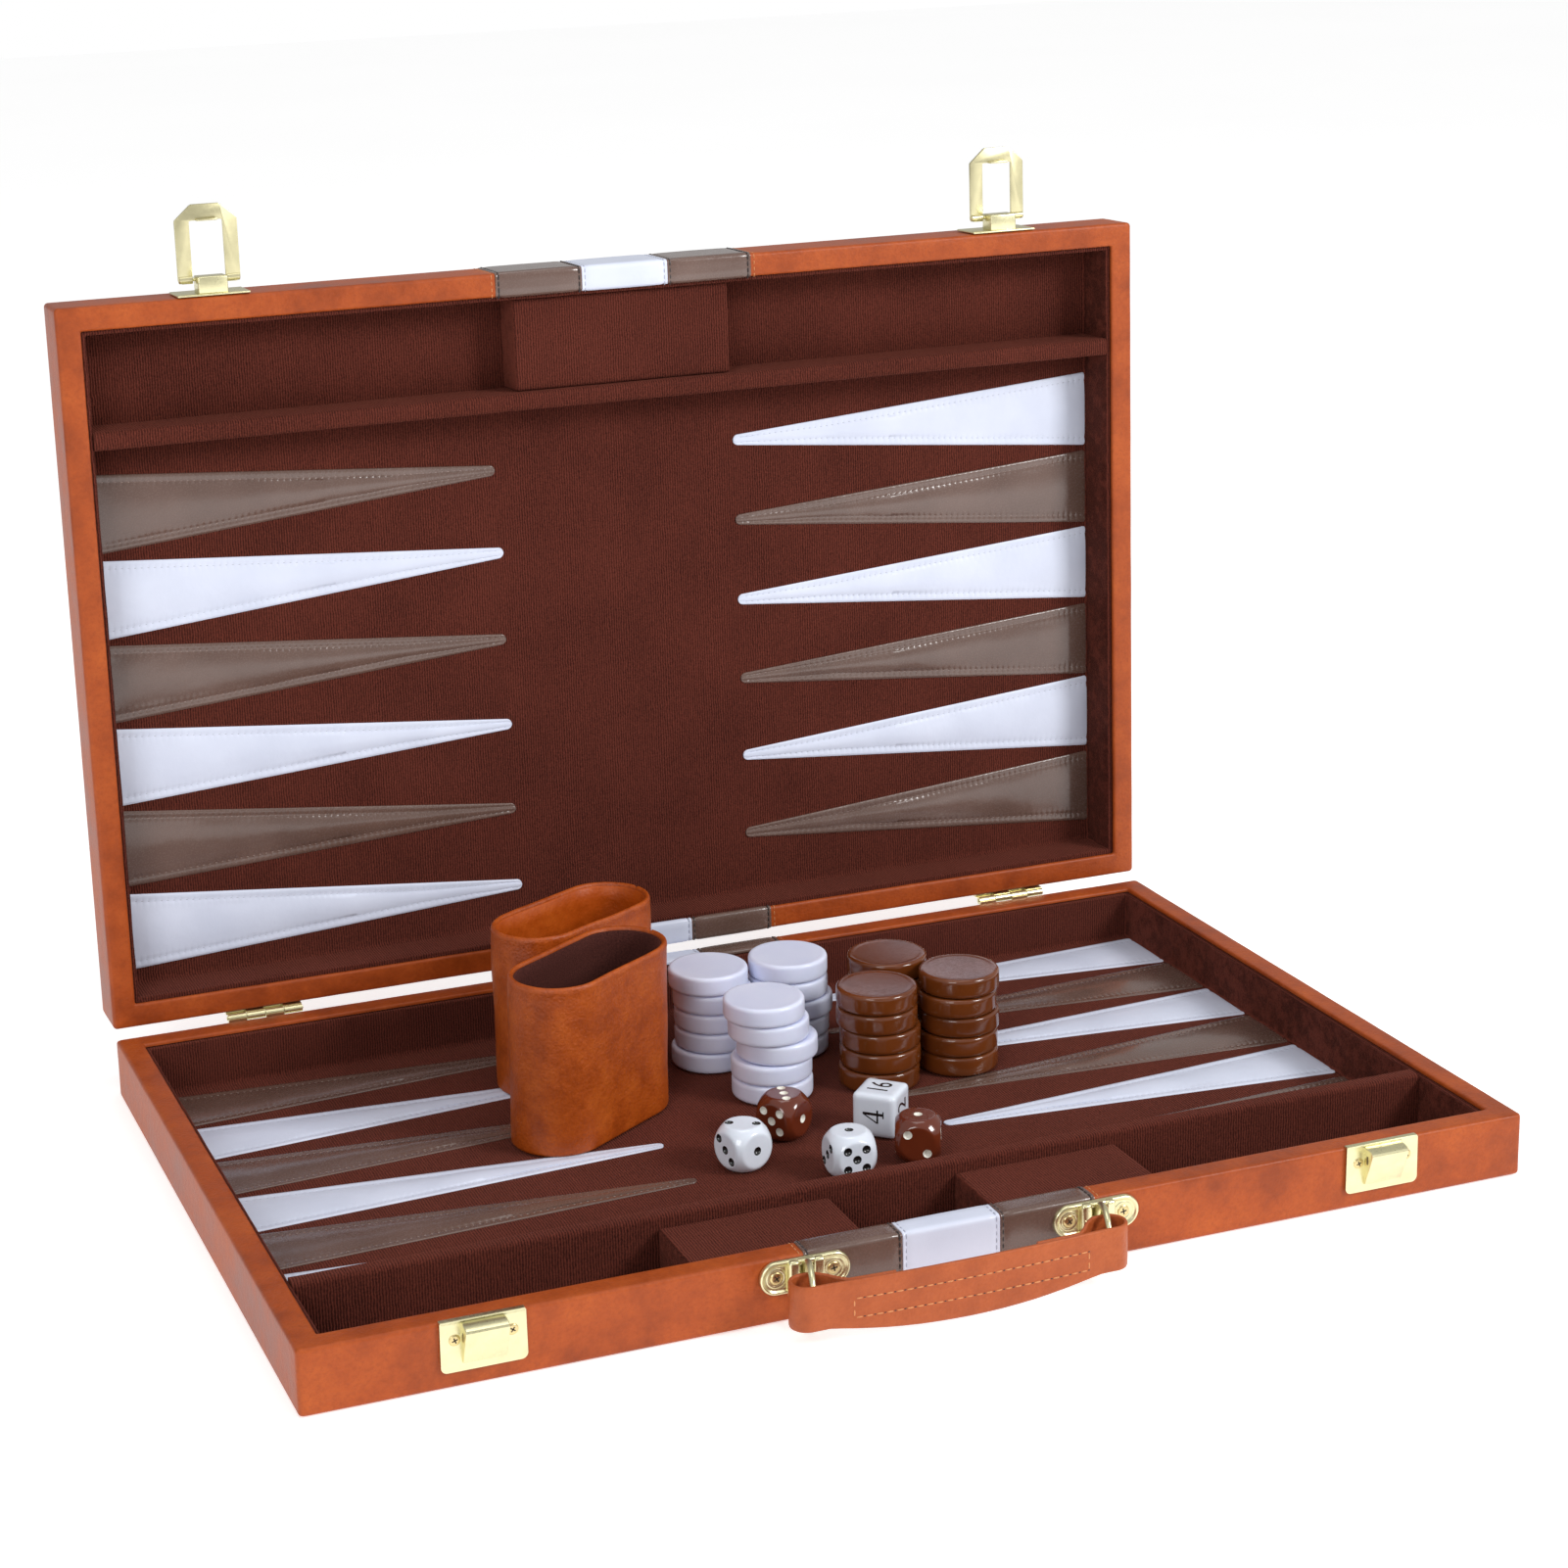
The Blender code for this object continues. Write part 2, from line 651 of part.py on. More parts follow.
def checker_profile():
    """From the axis at the top, out and down the rounded rim, back to the axis."""
    low, high, small = CHECKER_ROUND, CHECKER_THICK - CHECKER_ROUND, CHECKER_R - CHECKER_ROUND
    rim = [(small, CHECKER_THICK), (CHECKER_R, high), (CHECKER_R, low), (small, 0.0)]
    return [(0.0, CHECKER_THICK)] + rim + [(0.0, 0.0)]


def checker_mesh():
    def build(work):
        points = [work.verts.new((x, 0.0, z)) for x, z in checker_profile()]
        for start, end in zip(points, points[1:]):
            work.edges.new((start, end))
        bmesh.ops.spin(
            work, geom=work.verts[:] + work.edges[:], cent=(0, 0, 0), axis=(0, 0, 1),
            angle=2 * math.pi, steps=CHECKER_SIDES, use_merge=True,
        )
        bmesh.ops.remove_doubles(work, verts=work.verts, dist=0.00001)

    return mesh_from("checker", build)


def add_checkers():
    mesh = checker_mesh()
    counts = {"white": 0, "brown": 0}
    for colour, x, y, offsets in STACKS:
        for level, offset in enumerate(offsets):
            counts[colour] += 1
            place = ((x + offset) * MM, y * MM, PLAY_LEVEL + level * CHECKER_PITCH)
            checker = add_part(
                f"{colour}_checker_{counts[colour]:02d}", mesh.copy(), colour + "_checker", None, place
            )
            smooth(checker)


def add_dice():
    for name, x, y, size, turn_deg in DICE:
        half = size * MM / 2
        slot = "brown_die" if name.startswith("brown") else "white_die"
        mesh = box_mesh(name, (-half, -half, -half), (half, half, half))
        die = add_part(name, mesh, slot, None, (x * MM, y * MM, PLAY_LEVEL + half))
        die.rotation_euler.z = math.radians(turn_deg)
        bevel(die, 2.4 * MM, segments=2)


# ---------------------------------------------------------------- assembly


def add_frames():
    """Empties on the lid's hinge axis, the lid's own tray frame, the bars' axis and the rings' axis."""
    lid_axis = bpy.data.objects.new("lid_hinge_axis", None)
    lid_axis.location = (0.0, HINGE_Y, HINGE_Z)
    lid_axis.rotation_euler.x = -math.radians(LID_OPEN_DEG)
    lid = bpy.data.objects.new("lid_tray_frame", None)
    lid.parent = lid_axis
    lid.location = (0.0, -HINGE_Y, 2 * TRAY_HEIGHT + CLOSED_GAP - HINGE_Z)
    lid.rotation_euler.y = math.pi
    rings = bpy.data.objects.new("handle_ring_axis", None)
    rings.location = (0.0, BAR_Y, BAR_Z)
    strap = bpy.data.objects.new("carry_strap_axis", None)
    strap.parent = rings
    strap.location = (0.0, RING_Y - BAR_Y, RING_Z - BAR_Z)
    for empty in (lid_axis, lid, rings, strap):
        PARTS.objects.link(empty)
    return lid, rings, strap


def add_fittings(lid, rings, strap):
    # The lid's tray frame is turned about Y, so its left side is at local +X.
    for side, sign in (("left", -1), ("right", 1)):
        add_hinge_leaf(f"{side}_hinge_fixed_leaf", None, sign * HINGE_X, (0, 2), True)
        add_hinge_leaf(f"{side}_hinge_lid_leaf", lid, -sign * HINGE_X, (0, 2), False)
        add_catch(f"{side}_catch", LATCH_X[side])
        add_hasp_plate(f"{side}_hasp_plate", lid, -LATCH_X[side])
        pivot = bpy.data.objects.new(f"{side}_hasp_axis", None)
        PARTS.objects.link(pivot)
        pivot.parent = lid
        pivot.location = (-LATCH_X[side], HASP_PIVOT_Y, HASP_PIVOT_Z)
        add_hasp(f"{side}_hasp", pivot)
        add_bracket(f"{side}_handle_bracket", sign * BRACKET_X)
        add_ring(f"{side}_handle_ring", rings, sign * BRACKET_X)
    add_strap(strap)


def main():
    lid, rings, strap = add_frames()
    for prefix, parent in (("lower", None), ("upper", lid)):
        add_case(prefix + "_case", parent)
        add_lining(prefix + "_lining", parent)
        add_divider(prefix + "_divider", parent)
    add_lower_block(None)
    add_upper_block(lid)
    add_fittings(lid, rings, strap)
    for cup in CUPS:
        add_cup(*cup)
    add_checkers()
    add_dice()


clear_scene()
PARTS = make_collection("backgammon_set")
CUTTERS = make_collection("cutters")
main()
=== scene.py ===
"""The visible surfaces of a folding travel backgammon set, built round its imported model.

Shapes are worked out in millimetres and scaled to metres when a piece is made. Both trays are
built in the same tray frame: X along the width, +Y towards the hinges, +Z out of the open side.
"""

import json
import math

import bmesh
import bpy
from mathutils import Matrix, Vector, noise


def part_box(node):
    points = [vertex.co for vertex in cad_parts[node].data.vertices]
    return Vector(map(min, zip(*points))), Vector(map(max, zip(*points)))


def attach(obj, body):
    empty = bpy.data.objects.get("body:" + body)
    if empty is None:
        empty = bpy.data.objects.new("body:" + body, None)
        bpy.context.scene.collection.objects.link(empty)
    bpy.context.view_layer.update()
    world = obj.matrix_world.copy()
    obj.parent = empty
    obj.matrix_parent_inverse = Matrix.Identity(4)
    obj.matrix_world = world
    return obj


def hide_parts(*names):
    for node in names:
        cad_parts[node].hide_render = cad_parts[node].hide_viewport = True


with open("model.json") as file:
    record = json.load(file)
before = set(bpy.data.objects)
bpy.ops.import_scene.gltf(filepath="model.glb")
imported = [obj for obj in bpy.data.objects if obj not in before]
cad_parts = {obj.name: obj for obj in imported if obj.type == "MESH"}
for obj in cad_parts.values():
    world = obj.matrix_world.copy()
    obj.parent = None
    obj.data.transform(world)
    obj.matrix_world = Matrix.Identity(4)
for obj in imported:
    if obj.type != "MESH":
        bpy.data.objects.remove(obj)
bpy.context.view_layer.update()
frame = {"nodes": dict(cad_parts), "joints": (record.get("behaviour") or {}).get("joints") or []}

MM = 0.001
# Driving sizes of the two trays and where their fittings sit, in millimetres.
HALF_X = 228.5
HALF_Y = 143.8
TRAY_HEIGHT = 23.6
CLOSED_GAP = 1.2
LID_OPEN = math.radians(91.6)
RIM = 9.4
RECESS_INSET = 7.5
LINING_INSET = 11.2
FLOOR = 2.2
DIVIDER_Y = -91.6
FRONT_FACE = -HALF_Y - 0.3
HANDLE_X = 54.5
HINGE_X = 167.3
SIDES = (("left", -1), ("right", 1))
X, Y, Z = Vector((1, 0, 0)), Vector((0, 1, 0)), Vector((0, 0, 1))

JOINTS = {joint["name"]: joint for joint in frame["joints"]}


def at(x, y, z):
    return Matrix.Translation((x, y, z))


def rotated(degrees, axis="Z"):
    return Matrix.Rotation(math.radians(degrees), 4, axis)


def lid_matrix():
    """The lid's tray frame: the same tray turned over, then opened about its hinge."""
    pivot = Vector(JOINTS["lid_hinge"]["pos_m"])
    axis = Vector((0.0, pivot.y, pivot.z))
    closed = Vector((0.0, 0.0, (2 * TRAY_HEIGHT + CLOSED_GAP) * MM)) - axis
    opened = Matrix.Rotation(-LID_OPEN, 4, "X") @ Matrix.Translation(closed)
    return Matrix.Translation(axis) @ opened @ rotated(180.0, "Y")


TRAYS = {"lower": ("root", Matrix.Identity(4)), "upper": ("lid", lid_matrix())}


# ---------------------------------------------------------------- node materials


def node(mat, kind, inputs=None, **settings):
    made = mat.node_tree.nodes.new(kind)
    for key, value in settings.items():
        setattr(made, key, value)
    for key, value in (inputs or {}).items():
        if isinstance(value, bpy.types.NodeSocket):
            mat.node_tree.links.new(value, made.inputs[key])
        else:
            made.inputs[key].default_value = value
    return made


def new_material(name, **shader_values):
    mat = bpy.data.materials.new(name)
    mat.use_nodes = True
    shader = mat.node_tree.nodes["Principled BSDF"]
    for key, value in shader_values.items():
        shader.inputs[key.replace("_", " ")].default_value = value
    coords = node(mat, "ShaderNodeTexCoord")
    return mat, shader, coords.outputs["Object"]


def noise_value(mat, coords, scale, detail=3.0, roughness=0.55, stretch=None):
    if stretch:
        coords = node(mat, "ShaderNodeMapping", {"Vector": coords, "Scale": stretch}).outputs[0]
    inputs = {"Vector": coords, "Scale": scale, "Detail": detail, "Roughness": roughness}
    return node(mat, "ShaderNodeTexNoise", inputs).outputs["Fac"]


def ramp(mat, value, stops):
    made = node(mat, "ShaderNodeValToRGB", {"Fac": value})
    elements = made.color_ramp.elements
    while len(elements) < len(stops):
        elements.new(0.5)
    for element, (place, colour) in zip(elements, stops):
        element.position = place
        element.color = (*colour, 1.0)
    return made.outputs["Color"]


def span(mat, value, low, high, from_low=0.3, from_high=0.7):
    inputs = {"Value": value, "From Min": from_low, "From Max": from_high, "To Min": low, "To Max": high}
    return node(mat, "ShaderNodeMapRange", inputs).outputs["Result"]


def math_node(mat, operation, first, second=0.0):
    return node(mat, "ShaderNodeMath", {0: first, 1: second}, operation=operation).outputs[0]


def mix_colour(mat, factor, first, second):
    made = node(mat, "ShaderNodeMix", data_type="RGBA")
    for index, value in ((0, factor), (6, first), (7, second)):
        if isinstance(value, bpy.types.NodeSocket):
            mat.node_tree.links.new(value, made.inputs[index])
        else:
            made.inputs[index].default_value = value if index == 0 else (*value[:3], 1.0)
    return made.outputs[2]


def bump(mat, height, distance, strength=1.0, under=None):
    inputs = {"Height": height, "Distance": distance, "Strength": strength}
    if under is not None:
        inputs["Normal"] = under
    return node(mat, "ShaderNodeBump", inputs).outputs["Normal"]


def link(mat, shader, **values):
    for key, value in values.items():
        mat.node_tree.links.new(value, shader.inputs[key.replace("_", " ")])


def leather(name, dark, mid, light, roughness=(0.36, 0.5), grain=1.0, mottle=38.0, shine=0.3):
    """Embossed leatherette: mottled colour, a fine pebble grain and soft creases."""
    mat, shader, coords = new_material(name, Specular_IOR_Level=shine)
    clouds = noise_value(mat, coords, mottle, 6.0, 0.68)
    colour = ramp(mat, clouds, [(0.32, dark), (0.5, mid), (0.7, light)])
    flecks = noise_value(mat, coords, 620.0, 4.0, 0.75)
    colour = mix_colour(mat, span(mat, flecks, 0.0, 0.55, 0.46, 0.72), colour, dark)
    pebble = node(mat, "ShaderNodeTexVoronoi", {"Vector": coords, "Scale": 950.0}, feature="SMOOTH_F1")
    creases = noise_value(mat, coords, 330.0, 6.0, 0.65)
    inner = bump(mat, creases, 0.00030 * grain, 0.7)
    link(
        mat,
        shader,
        Base_Color=colour,
        Roughness=span(mat, clouds, *roughness),
        Normal=bump(mat, pebble.outputs["Distance"], 0.00016 * grain, 0.55, inner),
    )
    return mat


RIB_PITCH = 1.05


def felt(name, dark, light, rib=0.17):
    """A short-pile ribbed fabric: the ribs run across X, broken up by fuzz."""
    mat, shader, coords = new_material(
        name, Roughness=0.95, Sheen_Weight=0.22, Sheen_Roughness=0.4, Specular_IOR_Level=0.1
    )
    shader.inputs["Sheen Tint"].default_value = (0.80, 0.24, 0.16, 1.0)
    split = node(mat, "ShaderNodeSeparateXYZ", {"Vector": coords})
    wander = noise_value(mat, coords, 260.0, 3.0, 0.6)
    phase = math_node(mat, "MULTIPLY", split.outputs["X"], 2 * math.pi / (RIB_PITCH * MM))
    phase = math_node(mat, "ADD", phase, math_node(mat, "MULTIPLY", wander, 7.0))
    ribs = math_node(mat, "SINE", phase)
    fuzz = noise_value(mat, coords, 1500.0, 3.0, 0.75)
    clouds = noise_value(mat, coords, 24.0, 3.0, 0.5)
    tone = math_node(mat, "ADD", math_node(mat, "MULTIPLY", ribs, rib), fuzz)
    tone = math_node(mat, "ADD", tone, math_node(mat, "MULTIPLY", clouds, 0.25))
    colour = ramp(mat, tone, [(0.36, dark), (0.88, light)])
    height = math_node(mat, "ADD", math_node(mat, "MULTIPLY", ribs, 2 * rib), fuzz)
    link(mat, shader, Base_Color=colour, Normal=bump(mat, height, 0.00045, 0.8))
    return mat


def vinyl(name, dark, light, roughness=0.3, coat=0.3, shine=0.5):
    """Smooth coated leatherette for the points and stripes."""
    mat, shader, coords = new_material(
        name, Coat_Weight=coat, Coat_Roughness=0.14, Specular_IOR_Level=shine
    )
    clouds = noise_value(mat, coords, 30.0, 4.0, 0.55)
    ripple = noise_value(mat, coords, 110.0, 3.0, 0.5)
    fine = noise_value(mat, coords, 1300.0, 2.0, 0.6)
    inner = bump(mat, ripple, 0.0006, 0.35)
    link(
        mat,
        shader,
        Base_Color=ramp(mat, clouds, [(0.3, dark), (0.7, light)]),
        Roughness=span(mat, fine, roughness - 0.05, roughness + 0.08),
        Normal=bump(mat, fine, 0.00005, 0.5, inner),
    )
    return mat


def brass(name, tint, roughness=0.3, brushed=(1.0, 1.0, 1.0)):
    mat, shader, coords = new_material(name, Metallic=1.0)
    wear = noise_value(mat, coords, 160.0, 4.0, 0.6)
    brush = noise_value(mat, coords, 1400.0, 3.0, 0.7, stretch=brushed)
    darker = tuple(c * 0.88 for c in tint)
    link(
        mat,
        shader,
        Base_Color=ramp(mat, wear, [(0.3, darker), (0.65, tint)]),
        Roughness=span(mat, brush, roughness - 0.04, roughness + 0.06),
        Normal=bump(mat, brush, 0.00001, 0.3),
    )
    return mat


def plastic(name, dark, light, roughness=0.2, glow=0.0, coat=0.4):
    mat, shader, coords = new_material(
        name, Coat_Weight=coat, Coat_Roughness=0.1, Subsurface_Weight=glow, Subsurface_Scale=0.004
    )
    if glow:
        shader.inputs["Subsurface Radius"].default_value = (1.0, 0.8, 0.9)
    clouds = noise_value(mat, coords, 55.0, 3.0, 0.5)
    fine = noise_value(mat, coords, 700.0, 3.0, 0.6)
    link(
        mat,
        shader,
        Base_Color=ramp(mat, clouds, [(0.3, dark), (0.7, light)]),
        Roughness=span(mat, fine, roughness - 0.04, roughness + 0.07),
        Normal=bump(mat, fine, 0.00004, 0.3),
    )
    return mat


def thread(name, colour):
    mat, shader, coords = new_material(name, Roughness=0.6, Sheen_Weight=0.2)
    twist = noise_value(mat, coords, 2500.0, 2.0, 0.6)
    darker = tuple(c * 0.7 for c in colour)
    link(
        mat,
        shader,
        Base_Color=ramp(mat, twist, [(0.35, darker), (0.65, colour)]),
        Normal=bump(mat, twist, 0.00008, 0.6),
    )
    return mat


MATS = {
    "case": leather(
        "case_leatherette", (0.235, 0.038, 0.0045), (0.355, 0.062, 0.0075), (0.44, 0.088, 0.012)
    ),
    "cup": leather(
        "cup_leatherette", (0.27, 0.042, 0.002), (0.385, 0.066, 0.003), (0.47, 0.092, 0.005),
        grain=1.7, mottle=90.0, shine=0.4,
    ),
    "cup_inner": leather(
        "cup_leatherette_inside", (0.33, 0.052, 0.002), (0.41, 0.068, 0.003), (0.48, 0.09, 0.004),
        mottle=80.0,
    ),
    "strap": leather(
        "strap_leatherette", (0.30, 0.060, 0.013), (0.375, 0.080, 0.019), (0.43, 0.10, 0.026),
        grain=1.3, mottle=60.0,
    ),
    "felt": felt("brown_felt", (0.026, 0.0055, 0.0038), (0.142, 0.033, 0.021)),
    "cup_felt": felt("cup_felt", (0.028, 0.008, 0.007), (0.095, 0.028, 0.022), 0.02),
    "taupe": vinyl("taupe_leatherette", (0.105, 0.060, 0.046), (0.142, 0.085, 0.067), 0.24, 0.4),
    "white": vinyl("white_leatherette", (0.60, 0.64, 0.77), (0.68, 0.72, 0.85), 0.42, 0.1),
    "brass": brass("pale_brass", (0.80, 0.75, 0.46)),
    "brushed": brass("brushed_brass", (0.64, 0.59, 0.36), 0.34, (1.0, 1.0, 0.12)),
    "screw": brass("screw_brass", (0.74, 0.60, 0.30)),
    # Near-black painted shade, laid in the screw crosses and catch slots where their hollows fall in
    # shadow.
    "recess_shade": plastic("painted_recess_shade", (0.035, 0.022, 0.010), (0.06, 0.038, 0.016), 0.5, coat=0.0),
    "white_checker": plastic(
        "white_checker_plastic", (0.69, 0.73, 0.92), (0.75, 0.78, 0.95), 0.34, glow=0.2, coat=0.1
    ),
    "brown_checker": plastic(
        "brown_checker_plastic", (0.110, 0.026, 0.005), (0.155, 0.038, 0.007), 0.14, coat=0.25
    ),
    "white_die": plastic("white_die_plastic", (0.72, 0.77, 0.87), (0.78, 0.83, 0.92), 0.16, glow=0.1),
    "brown_die": plastic("brown_die_plastic", (0.11, 0.018, 0.006), (0.145, 0.026, 0.009), 0.13, coat=0.5),
    "black_paint": plastic("black_spot_paint", (0.006, 0.006, 0.007), (0.012, 0.012, 0.012), 0.25),
    "white_paint": plastic("white_spot_paint", (0.72, 0.70, 0.62), (0.82, 0.80, 0.72), 0.3),
    # Dark thread for the stripes' seams; on the strap it also paints the shade between the stitches.
    "dark_thread": thread("dark_thread", (0.022, 0.010, 0.008)),
    "taupe_thread": thread("taupe_thread", (0.30, 0.21, 0.18)),
    "white_thread": thread("white_thread", (0.50, 0.53, 0.64)),
    "orange_thread": thread("orange_thread", (0.66, 0.25, 0.08)),
}


# ---------------------------------------------------------------- shapes


class Shape:
    """Vertices in millimetres and faces, added to bit by bit and made into one mesh."""

    def __init__(self):
        self.verts = []
        self.faces = []

    def add(self, verts, faces, place=None):
        base = len(self.verts)
        if place is not None:
            verts = [place @ Vector(v) for v in verts]
        self.verts += [Vector(v) for v in verts]
        self.faces += [tuple(base + i for i in face) for face in faces]
        return self

    def loft(self, rings, caps=True, ring_closed=True, wrap=False, place=None):
        """Skin a row of rings that have the same number of points."""
        count = len(rings[0])
        verts = [v for ring in rings for v in ring]
        faces = []
        rows = len(rings) if wrap else len(rings) - 1
        around = count if ring_closed else count - 1
        for i in range(rows):
            a, b = i * count, ((i + 1) % len(rings)) * count
            for j in range(around):
                k = (j + 1) % count
                faces.append((a + j, a + k, b + k, b + j))
        if caps and not wrap:
            last = (len(rings) - 1) * count
            faces.append(tuple(reversed(range(count))))
            faces.append(tuple(last + j for j in range(count)))
        return self.add(verts, faces, place)

    def solid_grid(self, top, bottom, place=None):
        """A closed sheet from a grid of top points and the matching bottom points."""
        rows, columns = len(top), len(top[0])
        verts = [v for row in top for v in row] + [v for row in bottom for v in row]
        half = rows * columns
        faces = []
        for i in range(rows - 1):
            for j in range(columns - 1):
                a, b = i * columns + j, (i + 1) * columns + j
                faces.append((a, a + 1, b + 1, b))
                faces.append((half + a, half + b, half + b + 1, half + a + 1))
        border = [(0, j) for j in range(columns - 1)]
        border += [(i, columns - 1) for i in range(rows - 1)]
        border += [(rows - 1, j) for j in range(columns - 1, 0, -1)]
        border += [(i, 0) for i in range(rows - 1, 0, -1)]
        for (i, j), (k, m) in zip(border, border[1:] + border[:1]):
            a, b = i * columns + j, k * columns + m
            faces.append((a, half + a, half + b, b))
        return self.add(verts, faces, place)

    def merge(self, other, place=None):
        return self.add(other.verts, other.faces, place)

    def mesh(self, name):
        data = bpy.data.meshes.new(name)
        data.from_pydata([tuple(v * MM) for v in self.verts], [], self.faces)
        work = bmesh.new()
        work.from_mesh(data)
        bmesh.ops.recalc_face_normals(work, faces=work.faces)
        work.to_mesh(data)
        work.free()
        return data


def shape_of(mesh, unit):
    """A mesh as a Shape, with its sizes divided by unit to give millimetres."""
    return Shape().add([v.co / unit for v in mesh.vertices], [tuple(p.vertices) for p in mesh.polygons])


def shape_from(work):
    """A bmesh in millimetres as a Shape; the bmesh is freed."""
    faces = [[v.index for v in face.verts] for face in work.faces]
    made = Shape().add([v.co.copy() for v in work.verts], faces)
    work.free()
    return made


def bevelled_box(low, high, width=0.4, segments=3):
    work = bmesh.new()
    low, high = Vector(low), Vector(high)
    matrix = Matrix.Translation((low + high) / 2) @ Matrix.Diagonal((*(high - low), 1.0))
    bmesh.ops.create_cube(work, size=1.0, matrix=matrix)
    bmesh.ops.bevel(
        work, geom=work.edges[:], offset=width, segments=segments, profile=0.5, affect="EDGES"
    )
    return shape_from(work)


def mirrored(half):
    """An outline from its half on one side of the Y axis."""
    return list(half) + [(-x, y) for x, y in reversed(half)]


def arc(centre, radius, start_deg, end_deg, steps):
    out = []
    for i in range(steps + 1):
        angle = math.radians(start_deg + (end_deg - start_deg) * i / steps)
        out.append((centre[0] + radius * math.cos(angle), centre[1] + radius * math.sin(angle)))
    return out


def rect_ring(half_x, half_y, radius, z, corner=4, sides=(1, 1)):
    """A rounded rectangle, anticlockwise, with extra points along its sides."""
    radius = max(radius, 0.02)
    centres = [
        (half_x - radius, half_y - radius, 0),
        (-half_x + radius, half_y - radius, 90),
        (-half_x + radius, -half_y + radius, 180),
        (half_x - radius, -half_y + radius, 270),
    ]
    points = []
    for index, (cx, cy, start) in enumerate(centres):
        points += arc((cx, cy), radius, start, start + 90, corner)
        after = centres[(index + 1) % 4]
        a = Vector(points[-1])
        b = Vector(arc((after[0], after[1]), radius, after[2], after[2] + 90, corner)[0])
        count = sides[index % 2]
        points += [tuple(a.lerp(b, k / count)) for k in range(1, count)]
    return [(x, y, z) for x, y in points]


def stadium_ring(half_straight, radius, z, steps=20, sides=8):
    points = arc((half_straight, 0.0), radius, -90.0, 90.0, steps)
    points += [(half_straight - 2 * half_straight * k / sides, radius) for k in range(1, sides)]
    points += arc((-half_straight, 0.0), radius, 90.0, 270.0, steps)
    points += [(-half_straight + 2 * half_straight * k / sides, -radius) for k in range(1, sides)]
    return [(x, y, z) for x, y in points]


def circle_ring(radius, z, steps):
    angles = [2 * math.pi * i / steps for i in range(steps)]
    return [(radius * math.cos(a), radius * math.sin(a), z) for a in angles]


def revolve(profile, steps=48):
    """A closed turned shape from (radius, height) pairs that start and end near the axis."""
    return Shape().loft([circle_ring(max(r, 0.01), z, steps) for r, z in profile])


def tube_ring(centre, across, up, radius, steps=8):
    out = []
    for i in range(steps):
        angle = 2 * math.pi * i / steps
        out.append(centre + (across * math.cos(angle) + up * math.sin(angle)) * radius)
    return out


def rod(start, end, radius, steps=20, edge=0.0):
    """A straight round bar with slightly eased ends."""
    start, end = Vector(start), Vector(end)
    along = (end - start).normalized()
    across = along.orthogonal().normalized()
    up = along.cross(across)
    stops = [(start, radius), (end, radius)]
    if edge:
        stops = [(start, radius - edge), (start + along * edge, radius)]
        stops += [(end - along * edge, radius), (end, radius - edge)]
    return Shape().loft([tube_ring(place, across, up, size, steps) for place, size in stops])


def wobble(point, size, amount, seed=0.0):
    """A small smooth random offset, the same every run."""
    return noise.noise(Vector(point) / size + Vector((seed, seed * 0.7, -seed))) * amount


def roughened(shape, size, amount, seed, axes=(1.0, 1.0, 1.0), keep=None):
    for vert in shape.verts:
        if keep is not None and not keep(vert):
            continue
        push = [wobble(vert, size, amount, seed + 11.3 * k) * axes[k] for k in range(3)]
        vert += Vector(push)
    return shape


STITCH_RINGS = ((-1.0, 0.35), (-0.62, 0.92), (0.0, 1.0), (0.62, 0.92), (1.0, 0.35))


def stitch(shape, centre, along, normal, length, radius=0.24):
    """One sewn thread: a short rounded bead that dives in at both ends."""
    along = Vector(along).normalized()
    normal = Vector(normal).normalized()
    side = normal.cross(along)
    rings = []
    for t, share in STITCH_RINGS:
        middle = Vector(centre) + along * (t * length / 2) - normal * (radius * 0.9 * t * t)
        rings.append(tube_ring(middle, side, normal, radius * share, 6))
    shape.loft(rings)


def stitch_line(shape, points, normals, pitch, length, radius=0.24, start=0.0):
    """Stitches spaced evenly along a polyline."""
    points = [Vector(p) for p in points]
    travelled, target = 0.0, start + pitch / 2
    for i in range(len(points) - 1):
        step = (points[i + 1] - points[i]).length
        while step > 1e-6 and target <= travelled + step:
            share = (target - travelled) / step
            place = points[i].lerp(points[i + 1], share)
            normal = Vector(normals[i]).lerp(Vector(normals[i + 1]), share)
            stitch(shape, place, points[i + 1] - points[i], normal, length, radius)
            target += pitch
        travelled += step


# ---------------------------------------------------------------- making pieces


def new_object(name, data):
    made = bpy.data.objects.new(name, data)
    bpy.context.scene.collection.objects.link(made)
    return made


def put(name, data, body, place=None, replaces=(), sharp=38.0):
    """A finished mesh with its materials as a visible piece that rides on a body."""
    made = new_object(name, data)
    data.shade_smooth()
    data.set_sharp_from_angle(angle=math.radians(sharp))
    if place is not None:
        made.matrix_world = place
    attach(made, body)
    if replaces:
        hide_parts(*replaces)


def put_shape(name, shape, material, body, place=None, replaces=(), sharp=38.0):
    data = shape.mesh(name)
    data.materials.append(MATS[material])
    put(name, data, body, place, replaces, sharp)


def put_on_tray(tray, name, shape, material, replaces=(), sharp=38.0):
    """A piece shaped in the tray frame, on one of the trays."""
    body, place = TRAYS[tray]
    put_shape(name, shape, material, body, place, replaces, sharp)


def applied(obj, name):
    """The object's mesh with its modifiers applied; the object is removed."""
    bpy.context.view_layer.update()
    graph = bpy.context.evaluated_depsgraph_get()
    data = bpy.data.meshes.new_from_object(obj.evaluated_get(graph))
    data.name = name
    bpy.data.objects.remove(obj, do_unlink=True)
    return data


